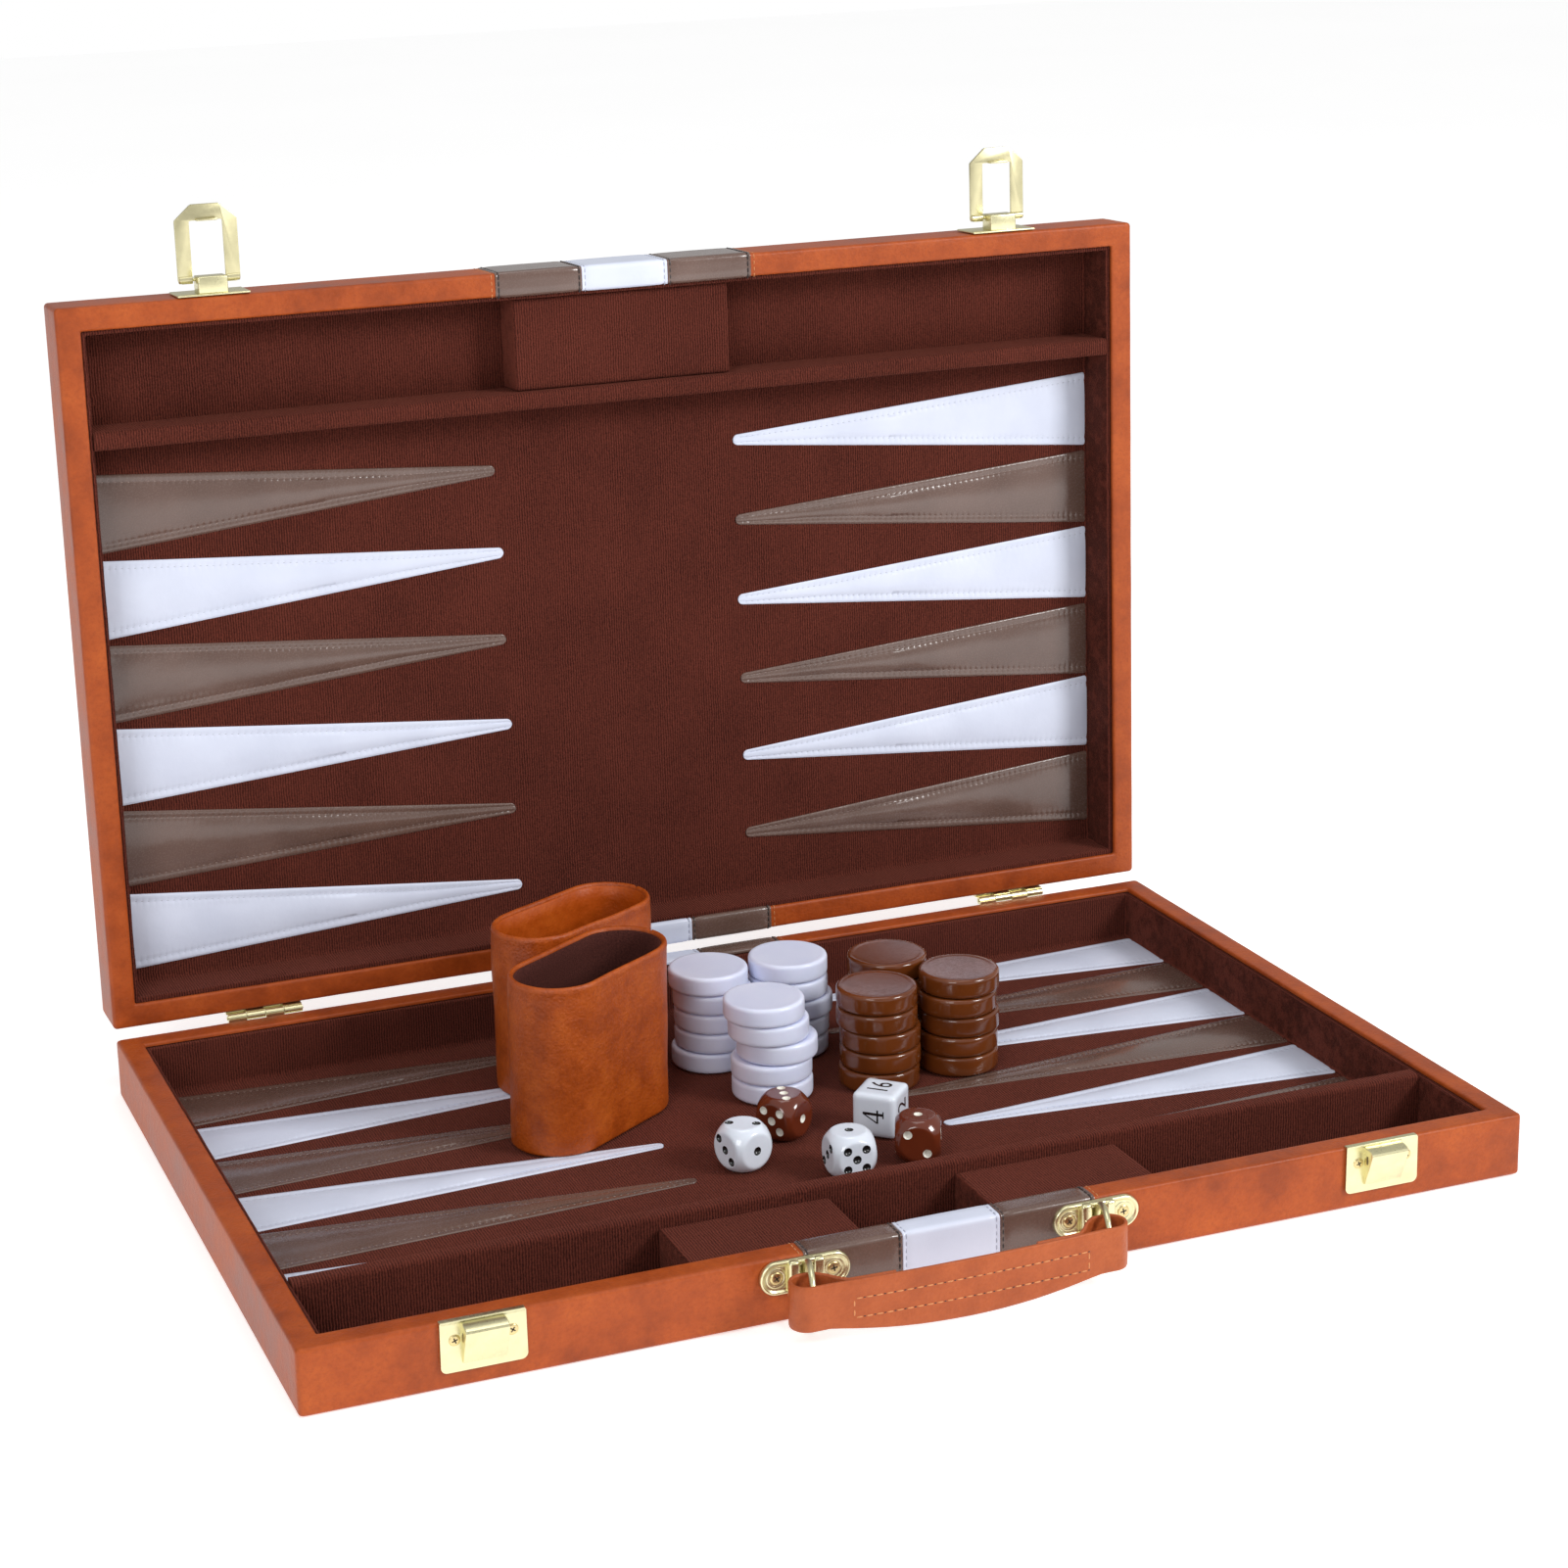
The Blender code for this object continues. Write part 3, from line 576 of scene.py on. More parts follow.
def carved(name, data, cutter_data):
    """data with cutter_data cut out; the cut faces keep the cutter's own material."""
    body = new_object(name + "_body", data)
    cutter = new_object(name + "_cutter", cutter_data)
    modifier = body.modifiers.new("cut", "BOOLEAN")
    modifier.operation = "DIFFERENCE"
    modifier.solver = "EXACT"
    modifier.material_mode = "TRANSFER"
    modifier.object = cutter
    made = applied(body, name)
    bpy.data.objects.remove(cutter, do_unlink=True)
    return made


# ---------------------------------------------------------------- trays


SHELL_PROFILE = (
    # Inset from the outer wall, height and corner radius: from the floor inside, out over the rim
    # and under the tray.
    (RECESS_INSET, 1.4, 0.6),
    (RECESS_INSET, 21.9, 0.6),
    (9.1, 21.95, 0.8),
    (RIM, 22.15, 0.9),
    (RIM, 22.9, 0.9),
    (9.2, 23.3, 0.9),
    (8.7, 23.55, 0.9),
    (8.0, TRAY_HEIGHT, 0.9),
    (4.6, TRAY_HEIGHT, 1.0),
    (1.5, TRAY_HEIGHT, 1.2),
    (0.85, 23.5, 1.4),
    (0.35, 23.2, 1.5),
    (0.08, 22.7, 1.6),
    (0.0, 22.0, 1.7),
    (0.0, 17.0, 1.7),
    (0.0, 12.0, 1.7),
    (0.0, 7.0, 1.7),
    (0.0, 1.6, 1.7),
    (0.08, 0.9, 1.6),
    (0.35, 0.4, 1.5),
    (0.85, 0.1, 1.4),
    (1.5, 0.0, 1.2),
)
SHELL_SEEDS = {"lower": 3.0, "upper": 8.0}
COVE = 1.6
DIVIDER_HALF = 3.5
DIVIDER_ROUND = 1.6
BLOCK_TOP = 18.1
LOWER_BLOCK_HALF = 88.2
NOTCH_HALF = 24.5
UPPER_BLOCK_HALF = 46.0


def wall_rings(profile, corner, sides):
    """Rings inside the tray's outline from rows of inset, height and corner radius."""
    return [
        rect_ring(HALF_X - inset, HALF_Y - inset, radius, z, corner, sides)
        for inset, z, radius in profile
    ]


def add_shell(tray):
    """The leatherette-wrapped case, with a softly uneven surface and rounded edges."""
    shell = Shape().loft(wall_rings(SHELL_PROFILE, 5, (64, 44)))
    roughened(shell, 14.0, 0.10, SHELL_SEEDS[tray], (1, 1, 0.6), lambda v: v.z > 2.0)
    put_on_tray(tray, f"{tray}_case_shell", shell, "case", [f"{tray}_case"])


def add_lining(tray):
    """Felt-covered floor and walls, coved where they meet."""
    outer, inner = RECESS_INSET, LINING_INSET
    profile = [(outer + 0.15, 1.75, 0.6), (outer + 0.15, 21.2, 0.6), (outer + 0.4, 21.6, 0.6)]
    profile += [(inner - 0.3, 21.65, 0.6), (inner, 21.3, 0.8), (inner, 16.0, 0.9)]
    profile += [(inner, 10.0, 1.0), (inner, 4.2, 1.0)]
    for angle in (0.3, 0.7, 1.1):
        inset = inner + COVE * (1 - math.cos(angle))
        profile.append((inset, FLOOR + COVE * (1 - math.sin(angle)), 1.0))
    profile += [(inner + 1.9, FLOOR, 1.2), (inner + 6.0, FLOOR, 1.2)]
    lining = Shape().loft(wall_rings(profile, 3, (90, 60)))
    roughened(lining, 18.0, 0.22, 21.0, (1, 1, 0), lambda v: 3.5 < v.z < 21.5)
    put_on_tray(tray, f"{tray}_felt_lining", lining, "felt", [f"{tray}_lining"])


def add_divider(tray):
    """The felt bar: flat sides, a rounded top, a hair out of straight."""
    half_length = HALF_X - LINING_INSET - 0.3
    side = [(-DIVIDER_HALF, FLOOR + 0.3), (-DIVIDER_HALF, 8.0), (-DIVIDER_HALF, 15.0)]
    corner = arc((DIVIDER_ROUND - DIVIDER_HALF, 20.9), DIVIDER_ROUND, 180.0, 90.0, 4)
    steps = 110
    rings = []
    for i in range(steps + 1):
        x = -half_length + 2 * half_length * i / steps
        ring = []
        for y, z in mirrored(side + corner):
            lift = wobble((x, y, 0), 9.0, 0.16, 5.0) if z > 12 else 0.0
            ring.append((x, DIVIDER_Y + y * (1 + wobble((x, 0, z), 16.0, 0.05, 2.0)), z + lift))
        rings.append(ring)
    divider = Shape().loft(rings)
    put_on_tray(tray, f"{tray}_felt_divider", divider, "felt", [f"{tray}_divider"])


def felt_block(left, right, front, back):
    """A felt-wrapped block with soft top edges."""
    half_x, half_y = (right - left) / 2, (back - front) / 2
    rows = [(0.0, FLOOR + 0.3), (0.0, BLOCK_TOP * 0.6)]
    for angle in (0, 25, 50, 75, 90):
        inset = 1.1 * (1 - math.cos(math.radians(angle)))
        rows.append((inset, BLOCK_TOP - 1.1 + 1.1 * math.sin(math.radians(angle))))
    rows.append((3.0, BLOCK_TOP))
    rings = [rect_ring(half_x - inset, half_y - inset, 0.8, z, 4, (24, 12)) for inset, z in rows]
    block = Shape().loft(rings, place=at((left + right) / 2, (front + back) / 2, 0))
    return roughened(block, 12.0, 0.15, 31.0)


def add_blocks():
    """The blocks in the troughs; the lower one is parted by the notch for the dice."""
    front, back = -HALF_Y + LINING_INSET + 0.3, DIVIDER_Y - 3.8
    lower = Shape()
    lower.merge(felt_block(-LOWER_BLOCK_HALF, -NOTCH_HALF, front, back))
    lower.merge(felt_block(NOTCH_HALF, LOWER_BLOCK_HALF, front, back))
    notch = NOTCH_HALF + 0.1
    lower.merge(bevelled_box((-notch, front, FLOOR + 0.3), (notch, back, FLOOR + 1.3), 0.3, 2))
    put_on_tray("lower", "lower_felt_block", lower, "felt", ["lower_storage_block"])
    upper = felt_block(-UPPER_BLOCK_HALF, UPPER_BLOCK_HALF, front, back)
    put_on_tray("upper", "upper_felt_block", upper, "felt", ["upper_storage_block"])


# ---------------------------------------------------------------- points


POINT_BASE_X = 217.1
POINT_HALF_BASE = 16.0
POINT_TIP_R = 2.3
POINT_STITCH = 2.6
SEAM = 3.1
# Each row's points, from the hinges outwards: how far below the hinge edge the base's middle and
# the tip are, and the tip's distance from the tray's middle. They are not quite evenly placed.
POINT_ROWS = {
    ("upper", "right"): (
        (36.2, 37.0, 52.4), (70.8, 71.5, 52.4), (103.7, 105.4, 52.4),
        (138.3, 139.7, 52.4), (172.0, 174.0, 52.4), (206.2, 207.9, 52.4),
    ),
    ("upper", "left"): (
        (32.9, 28.9, 49.3), (67.7, 62.3, 50.3), (101.4, 98.6, 50.2),
        (135.4, 134.8, 50.8), (169.4, 171.1, 50.1), (203.8, 205.4, 52.0),
    ),
    ("lower", "left"): (
        (33.5, 33.5, 49.6), (67.7, 67.3, 49.6), (101.8, 104.0, 49.6),
        (136.3, 140.2, 49.6), (169.5, 174.8, 49.6), (204.7, 207.0, 49.6),
    ),
    ("lower", "right"): (
        (30.8, 25.6, 52.0), (64.3, 61.0, 52.0), (98.4, 95.0, 52.0),
        (131.8, 133.1, 52.0), (167.2, 165.3, 55.5), (203.5, 199.0, 52.0),
    ),
}


def point_half_width(along, length):
    """Half the leather's width at a distance from the side wall."""
    tip_centre = length - POINT_TIP_R
    if along < 1.0:
        return POINT_HALF_BASE - 0.8 * (1.0 - along)
    if along <= tip_centre:
        return POINT_HALF_BASE + (POINT_TIP_R - POINT_HALF_BASE) * along / tip_centre
    return math.sqrt(max(POINT_TIP_R**2 - (along - tip_centre) ** 2, 0.0009))


def seam_inset(half):
    """How far the sewing keeps from the leather's edge."""
    return min(SEAM, half * 0.55)


def point_section(half, along, length):
    """Heights across half of a point, as (distance from its middle line, height)."""
    seam = seam_inset(half)
    inner = half - seam
    puff = min(0.85, 0.17 * inner) * min(1.0, along / 9.0) ** 0.5
    near_stitch = max(0.0, math.cos(2 * math.pi * along / POINT_STITCH)) ** 2
    sewn = 1.5 < along < length - 2.8
    dip = 0.22 * near_stitch if sewn else 0.0
    swell = 0.10 * (1.0 - near_stitch) if sewn else 0.0
    section = [(half, 0.14), (half - 0.12, 0.36), (half - seam * 0.35, 0.46)]
    section += [(half - seam * 0.7, 0.40 + swell - 0.4 * dip), (inner, 0.30 - dip)]
    section += [(inner - 0.25 * min(seam, inner), 0.34 + swell + 0.12 * puff - 0.3 * dip)]
    section += [(inner * k, 0.36 + puff * (1 - k * k)) for k in (0.84, 0.66, 0.42, 0.2, 0.0)]
    return section


def point_skin(stations, length, lean, seed):
    """The leather of one point, rippled a little inside its seams."""
    top, bottom = [], []
    for along in stations:
        section = point_section(point_half_width(along, length), along, length)
        middle = lean * along / length
        flat_half = section[4][0] * 0.9
        row = []
        for y, z in [(-y, z) for y, z in section[:-1]] + section[::-1]:
            ripple = wobble((along, y * 0.6, 0), 15.0, 0.26, seed) * (1 if abs(y) < flat_half else 0.2)
            row.append((along, middle + y, max(0.10, z + ripple)))
        top.append(row)
        bottom.append([(along, y, 0.02) for _, y, _ in row])
    return Shape().solid_grid(top, bottom)


def point_shape(length, lean, seed):
    """A stitched tapered leather point along +X from its base, lying on z = 0, and its thread."""
    tip = length - POINT_TIP_R
    stations = [i * POINT_STITCH / 6 for i in range(int(6 * tip / POINT_STITCH) + 1)]
    stations += [tip + POINT_TIP_R * math.sin(math.radians(a)) for a in range(6, 90, 12)] + [length]
    sewn = Shape()
    for side in (-1, 1):
        line = []
        for along in stations:
            half = point_half_width(along, length)
            if 1.0 < along < length - 2.6:
                line.append((along, lean * along / length + side * (half - seam_inset(half)), 0.16))
        stitch_line(sewn, line, [Z] * len(line), POINT_STITCH, 1.5, 0.17)
    return point_skin(stations, length, lean, seed), sewn


def add_points():
    """Six points on each side of each tray, white and taupe in turn."""
    for tray in TRAYS:
        sewn = {"white": Shape(), "taupe": Shape()}
        for side, sign in SIDES:
            # The lid's frame is turned about Y, so its left side is at +X.
            local = sign if tray == "lower" else -sign
            white_first = (tray == "upper") == (side == "left")
            for index, (base, tip, tip_x) in enumerate(POINT_ROWS[(tray, side)]):
                colour = "white" if (index % 2 == 0) == white_first else "taupe"
                here = at(local * POINT_BASE_X, HALF_Y - base, FLOOR) @ rotated(90.0 + 90.0 * local)
                seed = index * 3.7 + sign + (50 if tray == "upper" else 0)
                skin, seams = point_shape(POINT_BASE_X - tip_x, (tip - base) * local, seed)
                name = f"{tray}_{side}_point_{index + 1}"
                put_on_tray(tray, name, Shape().merge(skin, here), colour, sharp=60.0)
                sewn[colour].merge(seams, here)
        for colour, seams in sewn.items():
            put_on_tray(tray, f"{tray}_{colour}_point_stitches", seams, f"{colour}_thread", sharp=80.0)


# ---------------------------------------------------------------- stripes over the rims


WHITE_HALF = 18.3
TAUPE_OUTER = 54.5
STRIPES = (
    ("left", -TAUPE_OUTER, -WHITE_HALF, "taupe"),
    ("middle", -WHITE_HALF, WHITE_HALF, "white"),
    ("right", WHITE_HALF, TAUPE_OUTER, "taupe"),
)
DARK_SEAMS = (-19.3, -53.1, 19.3, 53.1)
WHITE_SEAMS = (-16.9, 16.9)
ORANGE_SEAMS = (-55.9, 55.9)


def wrap_path(front, under):
    """The wrapped line over a rim, as (y, z) in the tray frame, from inside the lip outwards."""
    sign = -1 if front else 1
    path = [(RIM, 22.3), (RIM, 22.8), (9.2, 23.3), (8.6, 23.58)]
    path += [(6.0, TRAY_HEIGHT), (3.5, TRAY_HEIGHT), (1.5, TRAY_HEIGHT)]
    path += [(0.85, 23.5), (0.35, 23.2), (0.08, 22.7), (0.0, 22.0)]
    path += [(0.0, 22.0 - 20.0 * k / 8) for k in range(1, 9)]
    path += [(0.1, 1.2), (0.35, 0.55), (0.85, 0.15)] if under else [(0.05, 1.1)]
    return [(sign * (HALF_Y - inset), z) for inset, z in path]


def path_normals(path):
    """Normals of a wrapped line that runs from the front of the tray to its rear."""
    out = []
    for i in range(len(path)):
        before, after = path[max(i - 1, 0)], path[min(i + 1, len(path) - 1)]
        along = Vector((0.0, after[0] - before[0], after[1] - before[1])).normalized()
        out.append(X.cross(along))
    return out


def stripe_routes(tray):
    """Where a tray's stripes run: the name, path and outward normals of each stretch."""
    lid = tray == "upper"
    front, rear = wrap_path(True, lid), wrap_path(False, lid)
    routes = [("front", front, [-n for n in path_normals(front)]), ("rear", rear, path_normals(rear))]
    if lid:
        steps = 60
        across = [(-HALF_Y + 1.5 + (2 * HALF_Y - 3.0) * k / steps, 0.0) for k in range(steps + 1)]
        routes.append(("outside", across, [-Z] * len(across)))
    return routes


def band(path, normals, left, right, seed):
    """A strip of leather laid over the case, pulled down along its two sewn edges."""
    across = [0.0, 0.15, 0.7, 1.25, 1.6, 2.3, 4.0, 7.0, (right - left) / 2]
    lift = [0.03, 0.30, 0.36, 0.12, 0.12, 0.36, 0.46, 0.48, 0.50]
    xs = [left + a for a in across] + [right - a for a in reversed(across[:-1])]
    heights = lift + lift[-2::-1]
    top, bottom = [], []
    for (y, z), normal in zip(path, normals):
        base = Vector((0.0, y, z))
        row = []
        for x, height in zip(xs, heights):
            height += wobble((x, y, z), 7.0, 0.10, seed)
            row.append(base + X * x + normal * max(height, 0.05))
        top.append(row)
        bottom.append([base + X * x - normal * 0.3 for x in xs])
    return Shape().solid_grid(top, bottom)


def seam_lines(shape, path, normals, xs, lift, length=1.9, radius=0.22):
    for x in xs:
        points = [Vector((x, y, z)) + normal * lift for (y, z), normal in zip(path, normals)]
        stitch_line(shape, points, normals, 2.6, length, radius)


def add_stripes():
    """White and taupe stripes over the middle of the rims, with the sewn seams between them."""
    for tray in TRAYS:
        sewn = {"dark": Shape(), "white": Shape(), "orange": Shape()}
        for where, path, normals in stripe_routes(tray):
            for side, left, right, colour in STRIPES:
                strip = band(path, normals, left + 0.06, right - 0.06, left)
                put_on_tray(tray, f"{tray}_{where}_{side}_stripe", strip, colour, sharp=50.0)
            seam_lines(sewn["dark"], path, normals, DARK_SEAMS, 0.24, 2.55, 0.36)
            seam_lines(sewn["white"], path, normals, WHITE_SEAMS, 0.24)
            seam_lines(sewn["orange"], path, normals, ORANGE_SEAMS, 0.05)
        for colour, seams in sewn.items():
            put_on_tray(tray, f"{tray}_{colour}_stripe_stitches", seams, f"{colour}_thread", sharp=80.0)


# ---------------------------------------------------------------- metal fittings


PLATE_THICK = 0.8
PLATE_SCREW_R = 2.0
BRACKET_SCREW_R = 2.3
KEEPER = (
    # How far it stands out, and height: from the plate over the top and down the sloping face.
    (0.0, 23.0), (2.4, 22.95), (4.2, 22.6), (5.2, 22.0), (5.5, 21.2), (5.3, 20.2),
    (1.35, 9.6), (1.0, 9.0), (0.0, 8.8),
)
KEEPER_ENDS = ((7.55, 0.45), (7.42, 0.15), (7.15, 0.0))
BRACKET_HEIGHT = 16.8
BRACKET_REACH = 10.4
BRACKET_RIM = (
    # Inset from the plate's edge, and height: over the raised rim and down to the dished floor.
    (0.0, 0.0), (0.0, 0.8), (0.12, 1.25), (0.4, 1.6), (0.8, 1.7), (1.15, 1.55), (1.45, 1.2),
    (1.9, 0.95), (2.4, 0.9),
)
SCREW_SEAT = ((3.9, 0.8), (3.5, 1.05), (3.1, 1.15), (2.7, 0.95), (2.4, 0.8), (0.0, 0.8))
RING_R = 9.9
RING_WIRE = 1.1
RING_LEAN = math.radians(15.5)


def screw_shapes(radius, height=0.5):
    """A countersunk screw head with its seat at z = 0, and a dark cross of painted shade for the shadow in
    its cross-shaped hollow.
    """
    profile = [(0.0, -0.3), (radius, -0.3), (radius, 0.05), (radius * 0.93, height * 0.55)]
    profile += [(radius * 0.80, height * 0.9), (radius * 0.62, height), (0.0, height)]
    # The cross is a thin dark inlay: painted shade in place of a real hollow.
    cross = Shape()
    for x, y in ((0.52, 0.12), (0.12, 0.52)):
        low = (-radius * x, -radius * y, height * 0.4)
        cross.merge(bevelled_box(low, (radius * x, radius * y, height + 0.03), 0.02, 1))
    return revolve(profile, 32), cross


def put_screws(name, seats, radius, tray):
    """Screw heads and their dark crosses of painted shade at each seat."""
    heads, crosses = screw_shapes(radius)
    for part, shape, material in (("heads", heads, "screw"), ("crosses", crosses, "recess_shade")):
        made = Shape()
        for seat in seats:
            made.merge(shape, seat)
        put_on_tray(tray, f"{name}_{part}", made, material, sharp=30.0)


def facing_front(x, y, z, spin_deg=0.0):
    """A frame whose +Z points out of a tray's front face."""
    return at(x, y, z) @ rotated(90.0, "X") @ rotated(spin_deg)


def plate_shape(outline, thickness, edge=0.25):
    """A flat plate from an outline in XY. Its top edge is spread if the outline runs clockwise."""
    count = len(outline)
    normals = []
    for i in range(count):
        along = (Vector(outline[(i + 1) % count]) - Vector(outline[i - 1])).normalized()
        normals.append(Vector((along.y, -along.x)))
    rows = [(0.0, 0.0), (0.0, thickness - edge), (edge * 0.3, thickness - edge * 0.3), (edge, thickness)]
    rings = [[(*(Vector(p) - n * inset), z) for p, n in zip(outline, normals)] for inset, z in rows]
    return Shape().loft(rings)


def latch_x(node_name):
    low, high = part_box(node_name)
    return (low.x + high.x) / 2 / MM


def keeper_shape(x, face):
    """A wedge-shaped keeper: it stands out at the top and slopes back to the plate below."""
    ends = []
    for half, shrink in KEEPER_ENDS:
        outline = [(max(out - shrink, 0.0), z + (-shrink if z > 16 else shrink)) for out, z in KEEPER]
        ends.append((half, outline))
    rows = [[(x - half, face - out, z) for out, z in outline] for half, outline in ends]
    rows += [[(x + half, face - out, z) for out, z in outline] for half, outline in reversed(ends)]
    return Shape().loft(rows)


def add_catches():
    """Screwed catch plates: a folded flange, rounded lower corners and a wedge-shaped keeper."""
    face = FRONT_FACE
    corner = arc((12.6, 1.9), 1.9, 0.0, -90.0, 6)
    outline = mirrored([(14.5, 17.0)] + corner)
    for side, _ in SIDES:
        x = latch_x(f"{side}_catch")
        made = Shape().merge(plate_shape(outline, PLATE_THICK), facing_front(x, face, 6.3))
        made.merge(bevelled_box((x - 14.5, face - PLATE_THICK, 22.6), (x + 14.5, face + 1.6, 24.0), 0.3))
        made.merge(keeper_shape(x, face - 0.7))
        put_on_tray("lower", f"{side}_catch_plate", made, "brass", [f"{side}_catch"], 28.0)
        # A thin dark sliver at the keeper's end: painted shade standing for the slot's shadow.
        slot = bevelled_box((x - 7.62, face - 3.4, 17.2), (x - 7.2, face - 2.6, 20.3), 0.05, 1)
        put_on_tray("lower", f"{side}_catch_slot_shade", slot, "recess_shade", sharp=30.0)
        seats = [
            facing_front(x - 9.8, face - PLATE_THICK, 17.3, 20.0),
            facing_front(x + 9.8, face - PLATE_THICK, 17.3, 55.0),
        ]
        put_screws(f"{side}_catch_screw", seats, PLATE_SCREW_R, "lower")


def add_hasp_plates():
    """Pivot plates on the lid: a thin plate and the folded block that carries the pin."""
    face = FRONT_FACE
    pin_y, pin_z = face - 5.9, 16.1
    for side, _ in SIDES:
        x = -latch_x(f"{side}_hasp_plate")
        made = bevelled_box((x - 14.2, face - PLATE_THICK, 7.3), (x + 14.2, face, 23.4), 0.3)
        made.merge(bevelled_box((x - 5.8, face - 7.3, 14.4), (x + 5.8, face - 0.6, 22.6), 0.55))
        made.merge(rod((x - 10.7, pin_y, pin_z), (x + 10.7, pin_y, pin_z), 0.7, 20, 0.15))
        name, replaced = f"{side}_hasp_pivot_plate", [f"{side}_hasp_plate"]
        put_on_tray("upper", name, made, "brass", replaced)


def loop_outline():
    """The hasp loop's outer edge, legs down, then the edge of its window."""
    outer = [(10.6, -1.6)] + arc((10.6, 0.2), 1.6, 270.0, 360.0, 5)[1:]
    outer += [(12.2, 6.0), (12.2, 14.0), (12.2, 22.4), (11.9, 23.0), (6.0, 28.2), (5.2, 28.6)]
    window = [(-6.5, -1.6), (-6.5, 11.0), (-6.5, 22.0), (-6.1, 22.4)]
    return mirrored(outer) + mirrored(window)


def loop_plate():
    """The loop's flat plate with its long edges chamfered."""
    work = bmesh.new()
    work.from_mesh(plate_shape(loop_outline(), 1.2, 0.0).mesh("loop"))
    bmesh.ops.remove_doubles(work, verts=work.verts, dist=0.00001)
    edges = [e for e in work.edges if len(e.link_faces) == 2 and e.calc_face_angle(0.0) > 0.6]
    bmesh.ops.bevel(work, geom=edges, offset=0.00018, segments=2, profile=0.5, affect="EDGES")
    data = bpy.data.meshes.new("loop_mesh")
    work.to_mesh(data)
    work.free()
    return shape_of(data, MM)


def add_hasps():
    """Chamfered loops with rounded legs, and the hook at the far side of the window."""
    for side, _ in SIDES:
        made = Shape().merge(loop_plate(), at(0, 0, -0.6))
        made.merge(bevelled_box((-4.0, 22.3, -3.2), (4.0, 23.1, 0.3), 0.2, 2))
        for sign in (-1, 1):
            made.merge(rod((sign * 6.6, 0, 0), (sign * 11.9, 0, 0), 1.45, 20, 0.2))
        # The loop's reach runs away from the hinge along the lid, and its hook points inwards.
        pivot = Matrix.Translation(JOINTS[f"{side}_hasp_hinge"]["pos_m"])
        here = pivot @ TRAYS["upper"][1].to_3x3().to_4x4() @ rotated(180.0) @ rotated(180.0, "Y")
        body = f"{side}_hasp"
        put_shape(f"{side}_hasp_loop", made, "brushed", body, here, [body], 28.0)


def add_brackets():
    """Handle brackets: a dished plate, two screw seats, and a slotted hump with a bar."""
    for side, sign in SIDES:
        x = sign * HANDLE_X
        here = facing_front(x, FRONT_FACE, BRACKET_HEIGHT)
        rings = [stadium_ring(BRACKET_REACH, 6.0 - inset, z, 28, 10) for inset, z in BRACKET_RIM]
        made = Shape().loft(rings, place=here)
        for dx in (-BRACKET_REACH, BRACKET_REACH):
            made.merge(revolve(SCREW_SEAT, 40), here @ at(dx, 0, 0))
        for low, high in ((-6.6, -2.4), (2.4, 6.6)):
            made.merge(bevelled_box((low, -5.9, 0.2), (high, 5.9, 3.4), 1.3, 5), here)
        made.merge(bevelled_box((-3.4, 3.9, 0.4), (3.4, 5.9, 2.6), 0.8, 4), here)
        made.merge(rod((-5.6, -0.2, 3.0), (5.6, -0.2, 3.0), 0.75, 20), here)
        name, replaced = f"{side}_handle_bracket_plate", [f"{side}_handle_bracket"]
        put_on_tray("lower", name, made, "brass", replaced, 45.0)
        seats = [
            facing_front(x - BRACKET_REACH, FRONT_FACE - PLATE_THICK, BRACKET_HEIGHT, 35.0),
            facing_front(x + BRACKET_REACH, FRONT_FACE - PLATE_THICK, BRACKET_HEIGHT, 10.0),
        ]
        put_screws(f"{side}_handle_bracket_screw", seats, BRACKET_SCREW_R, "lower")


def ring_centre():
    return Vector(JOINTS["carry_strap_swing"]["pos_m"]) / MM


def add_rings():
    """The wire rings that carry the strap, turned a little on their bars."""
    centre = ring_centre()
    for side, sign in SIDES:
        rings = []
        for i in range(72):
            angle = 2 * math.pi * i / 72
            out = Vector((0.0, math.cos(angle), math.sin(angle)))
            rings.append(tube_ring(out * RING_R, out, X, RING_WIRE, 16))
        made = Shape().loft(rings, wrap=True)
        middle = Vector((sign * HANDLE_X - RING_R * math.sin(RING_LEAN), centre.y, centre.z)) * MM
        here = Matrix.Translation(middle) @ Matrix.Rotation(-RING_LEAN, 4, "Z")
        put_shape(f"{side}_ring", made, "brass", "handle_rings", here, [f"{side}_handle_ring"])


def add_hinges():
    """The hinge leaves keep their solids; their screws are added."""
    for side, sign in SIDES:
        for tray, leaf in (("lower", "fixed"), ("upper", "lid")):
            materials = frame["nodes"][f"{side}_hinge_{leaf}_leaf"].data.materials
            materials.clear()
            materials.append(MATS["brass"])
            middle = (sign if tray == "lower" else -sign) * HINGE_X
            seats = []
            for dx, z in ((-10.5, 13.0), (0.0, 17.0), (10.5, 13.0)):
                seat = at(middle + dx, HALF_Y + 1.3, z) @ rotated(-90.0, "X")
                seat = seat @ Matrix.Rotation(0.7 + dx, 4, "Z")
                seats.append(seat @ Matrix.Diagonal((0.8, 0.8, 0.6, 1.0)))
            put_screws(f"{side}_{tray}_hinge_screw", seats, PLATE_SCREW_R, tray)


# ---------------------------------------------------------------- strap


STRAP_END = 56.0
STRAP_FLAT = STRAP_END - 5.0
LOOP_R = 5.95
STRAP_THICK = 1.4
STRAP_TOP = 8.1
STRAP_SHIFT = -2 * RING_R * math.sin(RING_LEAN)
STRAP_SECTION = (
    # Place across the band from -1 to 1, and share of its thickness, to its middle.
    (-1.0, 0.35), (-0.975, 0.8), (-0.92, 1.0), (-0.6, 1.04), (-0.3, 1.0), (0.0, 1.05),
)
STRAP_SEAM_X = (-41.6, 44.8)
STRAP_SEAM_Z = (-1.9 - 3.4, -1.9 + 3.4)


def strap_front(x):
    """The strap's front face from above, bowed out between its ends."""
    ends = -(2 * LOOP_R + 0.8)
    if abs(x) > STRAP_FLAT:
        return ends
    return ends - 1.6 * (1.0 - (x / (STRAP_END + LOOP_R)) ** 2) * (1.0 - (x / STRAP_FLAT) ** 4)


